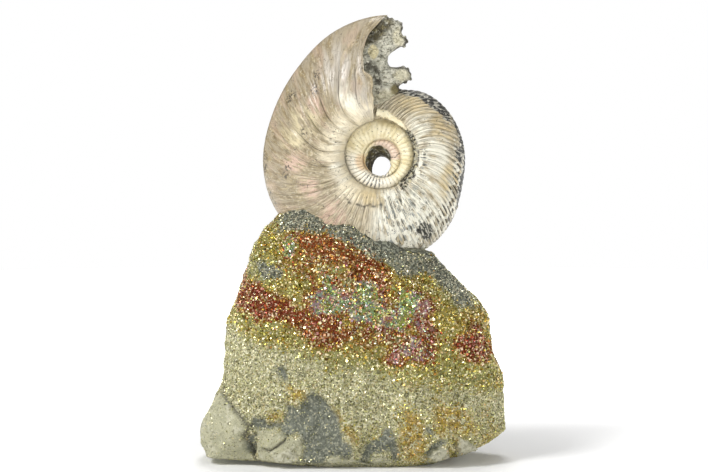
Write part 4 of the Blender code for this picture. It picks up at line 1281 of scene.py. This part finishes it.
# %% Clay stone, and the floor of the crust between its crystals
clay, tree, shader = new_finish("clay_stone_with_pyrite_dust", Roughness=0.6)
place = places_in_mm(tree)
note, spots = partial(noted, tree), partial(patches, tree, place)
crusted, film_note = note("crust"), note("film")
FLICKER_SIZE = 0.8
flicker = add(tree, "ShaderNodeTexNoise", {"Vector": place, "Scale": 1 / FLICKER_SIZE, "Detail": 2.0})
film_here = add(tree, "ShaderNodeMath", {0: flicker.outputs["Fac"], 1: 0.16, 2: film_note}, operation="MULTIPLY_ADD")
film_here = add(tree, "ShaderNodeMath", {0: film_here.outputs[0], 1: 0.08}, operation="SUBTRACT", use_clamp=True)
ramp = add(tree, "ShaderNodeValToRGB", {"Fac": film_here.outputs[0]})


def fill_ramp(node, colours):
    """Give a ramp these places and hex colours."""
    marks = node.color_ramp.elements
    while len(marks) < len(colours):
        marks.new(1.0)
    for mark, (at, colour_there) in zip(marks, colours):
        mark.position = at
        mark.color = linear(colour_there)


fill_ramp(ramp, FILM_COLOURS)
# painted shade: the floor between the crystals is darkened, in the grey band too
shade_between_crystals = layered(tree, "#4C4A2A", [("#42331A", 2.2, film_note)])
grey_floor = layered(tree, "#4A4C40", [("#868878", 1, spots(0.8, 0.50, 0.58, detail=1.0))])
crust_floor_with_shade = [
    (shade_between_crystals, 1, 0.56),
    ("#8C8866", 0.5, spots(0.7, 0.54, 0.60)),
    (grey_floor, 1, note("grey")),
]
sand = [
    ("#BCB990", 1, spots(2.2, 0.42, 0.6)),
    ("#5A573D", 0.82, spots(0.75, 0.52, 0.57, detail=1.0)),
    ("#E8E4C4", 0.85, spots(0.85, 0.54, 0.59, detail=1.0)),
    ("#B39A50", 0.5, spots(0.83, 0.60, 0.64, detail=1.0)),
]
broken_clay = [
    ("#BCB99E", 1, spots(6.0, 0.42, 0.58, detail=5.0)),
    ("#84816A", 0.6, spots(0.9, 0.52, 0.62, detail=4.0)),
    ("#A8935A", 0.6, spots(4.0, 0.58, 0.68, detail=4.0)),
]
beige_clay = [
    ("#C1BE9E", 1, spots(3.0, 0.4, 0.6)),
    ("#D0CDB4", 0.7, spots(2.2, 0.54, 0.62, detail=4.0)),
    ("#7D7A62", 0.7, spots(0.8, 0.57, 0.64)),
]
slate_grains = [
    ("#7E8173", 1, spots(1.3, 0.42, 0.6)),
    ("#4F5148", 0.7, spots(0.6, 0.55, 0.65)),
    ("#B0B09A", 0.75, spots(0.8, 0.56, 0.62, detail=1.0)),
]
ochre_grains = [("#C2A348", 1, spots(0.9, 0.48, 0.56)), ("#6E5A2C", 0.8, spots(0.66, 0.55, 0.60, detail=1.0))]
block_face_highlight = [("#A9A58A", 1, spots(1.6, 0.5, 0.62, detail=5.0))]
colour = layered(
    tree,
    layered(tree, "#ABA880", sand),
    [
        (layered(tree, "#A5A388", broken_clay), 0.9, note("break")),
        (layered(tree, "#B4B294", beige_clay), 1, note("beige")),
        # painted highlight: the lit faces of the blocks are paler
        (layered(tree, "#D2CFB7", block_face_highlight), 0.85, note("lit_block_face")),
        (layered(tree, "#686C5E", slate_grains), 1, note("slate_and_shadow")),
        (layered(tree, "#9C8542", ochre_grains), 1, note("ochre"), spots(2.6, 0.40, 0.56, detail=5.0)),
        ("#4A483E", 0.8, note("crack")),
        (layered(tree, ramp.outputs["Color"], crust_floor_with_shade), 1, crusted),
    ],
)
tree.links.new(both(tree, crusted, both(tree, film_note, 3.0)), shader.inputs["Metallic"])
show(tree, shader, colour, spots(0.5, 0.25, 0.75, detail=4.0), 0.0003, 1.0)
print("clay nodes", len(tree.nodes))

# %% [markdown]
# The rings of points become one closed skin: the walls, a flat base that the stone stands on, and a shallow cone
# that closes the top under the shell.

# %% Build the stone
faces = grid_faces(len(levels), STONE_COLUMNS).tolist()
faces.append(tuple(range(STONE_COLUMNS)))
top = len(flat) - STONE_COLUMNS
middle_top = flat[top:].mean(axis=0) + np.array((0, 0, 0.5))
faces += [(top + i, top + (i + 1) % STONE_COLUMNS, len(flat)) for i in range(STONE_COLUMNS)]
stone = make_piece("clay_stone", np.concatenate([flat, [middle_top]]), faces, [clay])
stone_notes = {"crust": crust, "film": film, "slate_and_shadow": slate_and_shadow, "ochre": ochre, "beige": beige}
stone_notes |= {"crack": cracked, "grey": grey, "break": bare_break, "lit_block_face": lit_block_face}
for name, values in stone_notes.items():
    note_on(stone, name, np.append(values, 0.0))
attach(stone, "root")
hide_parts("pyrite_stone")

# %% [markdown]
# ## Crystals
# Pyrite grows as cubes, octahedra and forms between them. Each crystal here is one of these, turned at random and
# partly sunk in the crust, and thousands are joined into one mesh. Where they are set, how large they are and how
# thick their film is comes from the same zones as the stone's colour.


# %% Pyrite, tarnished
def pyrite_finish(name, roughness, dark_colour):
    """Tarnished pyrite: a metal whose colour comes from the film, with some crystals tinted near white as a painted
    glint, and whose polish differs by crystal.
    """
    finish, tree, shader = new_finish(name, Metallic=1.0)
    island = add(tree, "ShaderNodeNewGeometry").outputs["Random Per Island"]
    ramp = add(tree, "ShaderNodeValToRGB", {"Fac": noted(tree, "film")})
    fill_ramp(ramp, FILM_COLOURS)
    # painted highlight: a share of the crystals is laid near white, as a glint
    pale = add(tree, "ShaderNodeMapRange", {"Value": island, "From Min": 0.58, "From Max": 0.92, "To Max": 0.78})
    dark = add(tree, "ShaderNodeMapRange", {"Value": island, "From Min": 0.45, "From Max": 0.0, "To Max": 0.7})
    colour = laid_over(tree, ramp.outputs["Color"], dark_colour, dark.outputs[0])
    tree.links.new(laid_over(tree, colour, "#F0E4C6", pale.outputs[0]), shader.inputs["Base Color"])
    polish = add(tree, "ShaderNodeMapRange", {"Value": island, "To Min": roughness[0], "To Max": roughness[1]})
    tree.links.new(polish.outputs[0], shader.inputs["Roughness"])
    return finish


coarse_pyrite = pyrite_finish("tarnished_pyrite_crystals", (0.15, 0.35), "#4E3C22")
fine_pyrite = pyrite_finish("fine_pyrite_grains", (0.25, 0.45), "#4A4B3A")

# %% [markdown]
# Two forms are enough at this size, cubes and octahedra, each stretched a little. Every face of the stone's grid is
# a spot where some may sit, with its own slope, crust and film. None sit where the shell stands in its bed.

# %% Crystal forms and where they may sit
CUBE = np.array([(x, y, z) for x in (-1, 1) for y in (-1, 1) for z in (-1, 1)], float) * 0.72
CUBE_FACES = [(0, 1, 3, 2), (4, 6, 7, 5), (0, 4, 5, 1), (2, 3, 7, 6), (0, 2, 6, 4), (1, 5, 7, 3)]
OCTAHEDRON = np.array([(1, 0, 0), (-1, 0, 0), (0, 1, 0), (0, -1, 0), (0, 0, 1), (0, 0, -1)], float) * 1.1
OCTAHEDRON_FACES = [(0, 2, 4), (2, 1, 4), (1, 3, 4), (3, 0, 4), (2, 0, 5), (1, 2, 5), (3, 1, 5), (0, 3, 5)]
draw = np.random.default_rng(23)

corners = np.array([tuple(p.vertices) for p in stone.data.polygons if len(p.vertices) == 4])
spots = flat[corners].mean(axis=1)
one_way, other_way = flat[corners[:, 2]] - flat[corners[:, 0]], flat[corners[:, 3]] - flat[corners[:, 1]]
spot_normals = np.cross(one_way, other_way)
spot_areas = np.linalg.norm(spot_normals, axis=-1) / 2
spot_normals /= np.maximum(spot_areas[:, None] * 2, 1e-9)
spot_crust, spot_slate_and_shadow, spot_beige, spot_film, spot_spread, spot_grey, spot_lit_block_face, spot_break = (
    values[corners].mean(axis=1) for values in (crust, slate_and_shadow, beige, film, spread, grey, lit_block_face, bare_break)
)
# a crystal may have the film of a place a few grid cells away, and some have only the gold film of fresh tarnish
FILM_STRAYS_BY = 2.6
STRAY_SHARE = 0.27
STRAY_FILM = (0.10, 0.34)
STRAYS_WHERE_OVER = 0.12
# the spread of sizes: a larger number makes more of the small ones. Then how far a corner reaches from the middle
SIZE_SKEW = 1.6
CORNER_REACH = 1.3
shell_distance = np.linalg.norm(spots[:, [0, 2]] - CENTRE[[0, 2]], axis=-1)
in_shell = (shell_distance < 30) & (np.abs(spots[:, 1]) < 9)
print("crust area", round(float((spot_areas * spot_crust).sum() / 100), 1), "square centimetres")


# %% [markdown]
# Instances would be quicker to make, but one joined mesh goes into any program and keeps a film for each crystal.
# The crystals of the crust are 0.3 to 1.1 mm across, judged from the photograph. The grains of the sand and
# of the back are 0.3 to 0.8 mm across, coarser than real pyrite dust, so that they show.


# %% Scatter crystals and join them
def scatter(name, per_mm2, half_sizes, finish, sunk=0.25):
    """Crystals by area where the density says, joined into one piece. Sizes are half sizes in millimetres."""
    expected = spot_areas * per_mm2 * ~in_shell
    how_many = draw.poisson(expected)
    picked = np.repeat(np.arange(len(spots)), how_many)
    mix = draw.random((len(picked), 4))
    mix /= mix.sum(axis=1, keepdims=True)
    seats = (flat[corners[picked]] * mix[..., None]).sum(axis=1)
    half = half_sizes[0] * (half_sizes[1] / half_sizes[0]) ** (draw.random(len(picked)) ** SIZE_SKEW)
    seats = seats - spot_normals[picked] * (half * sunk)[:, None]
    reach = half[:, None] * CORNER_REACH
    low, high = np.array(cad_box) / MM
    kept = ((seats - reach > low) & (seats + reach < high)).all(axis=1)
    picked, seats, half = picked[kept], seats[kept], half[kept]
    beside = np.rint(draw.standard_normal((2, len(picked))) * FILM_STRAYS_BY).astype(int)
    film_from = np.clip(picked + beside[0] * STONE_COLUMNS + beside[1], 0, len(spots) - 1)
    films = spot_film[film_from] + spot_spread[film_from] * draw.standard_normal(len(picked))
    strays = (draw.random(len(picked)) < STRAY_SHARE) & (spot_film[picked] > STRAYS_WHERE_OVER)
    films = np.clip(np.where(strays, draw.uniform(*STRAY_FILM, len(picked)), films), 0, 1)
    turned = draw.standard_normal((len(picked), 4))
    turned /= np.linalg.norm(turned, axis=1, keepdims=True)
    w, x, y, z = turned.T
    spin = np.array(
        [
            [1 - 2 * (y * y + z * z), 2 * (x * y - z * w), 2 * (x * z + y * w)],
            [2 * (x * y + z * w), 1 - 2 * (x * x + z * z), 2 * (y * z - x * w)],
            [2 * (x * z - y * w), 2 * (y * z + x * w), 1 - 2 * (x * x + y * y)],
        ]
    ).transpose(2, 0, 1)
    is_cube = draw.random(len(picked)) < 0.5
    points, faces, notes, offset = [], [], [], 0
    for form, form_faces, chosen in ((CUBE, CUBE_FACES, is_cube), (OCTAHEDRON, OCTAHEDRON_FACES, ~is_cube)):
        stretch = draw.uniform(0.8, 1.15, (chosen.sum(), 1, 3))
        made = np.einsum("nij,nvj->nvi", spin[chosen], form[None] * stretch) * half[chosen, None, None]
        made += seats[chosen, None]
        points.append(made.reshape(-1, 3))
        starts = offset + np.arange(len(made))[:, None, None] * len(form)
        faces += (np.array(form_faces)[None] + starts).reshape(-1, len(form_faces[0])).tolist()
        notes.append(np.repeat(films[chosen], len(form)))
        offset += made.shape[0] * len(form)
    mesh = bpy.data.meshes.new(name)
    mesh.from_pydata(np.concatenate(points) * MM, [], faces)
    mesh.materials.append(finish)
    piece = bpy.data.objects.new(name, mesh)
    bpy.context.scene.collection.objects.link(piece)
    note_on(piece, "film", np.concatenate(notes))
    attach(piece, "root")
    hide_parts("pyrite_stone")
    triangles = sum(len(face) - 2 for face in faces)
    print(name, len(picked), "crystals", triangles, "triangles")


coloured = spot_crust * (1 - spot_grey)
sugar = (1 - spot_crust) * (1 - spot_grey) * (1 - 0.9 * spot_slate_and_shadow) * (1 - 0.9 * spot_beige)
front_facing = past_the_edge(spots) < 0
left_side = spots[:, 0] < 0
sand_grains = sugar * (1 - 0.8 * spot_lit_block_face) * front_facing
gold_in_sand = sugar * soft_step(-10, 20, spots[:, 0]) * front_facing
back_grains = (1 - spot_crust) * (1 - 0.9 * spot_break) * ~front_facing
# how many to the square millimetre, and the half sizes
scatter("coarse_crystals", 2.0 * coloured, (0.26, 0.54), coarse_pyrite)
scatter("middle_crystals_left", 3.8 * coloured * left_side, (0.16, 0.32), coarse_pyrite)
scatter("middle_crystals_right", 3.8 * coloured * ~left_side, (0.16, 0.32), coarse_pyrite)
scatter("grey_band_crystals", 5.0 * spot_grey * front_facing, (0.18, 0.38), fine_pyrite)
scatter("sugar_grains", 4.6 * sand_grains, (0.17, 0.34), fine_pyrite)
scatter("gold_crystals_in_sand", 0.8 * gold_in_sand, (0.2, 0.4), coarse_pyrite)
scatter("grains_on_the_back", 1.0 * back_grains, (0.15, 0.4), fine_pyrite)

# %% [markdown]
# ## Measure
# The dressed part has to stay inside the box of the imported solids, so that box is printed once more.

# %% Print the box of the solids
print("cad box", cad_box)
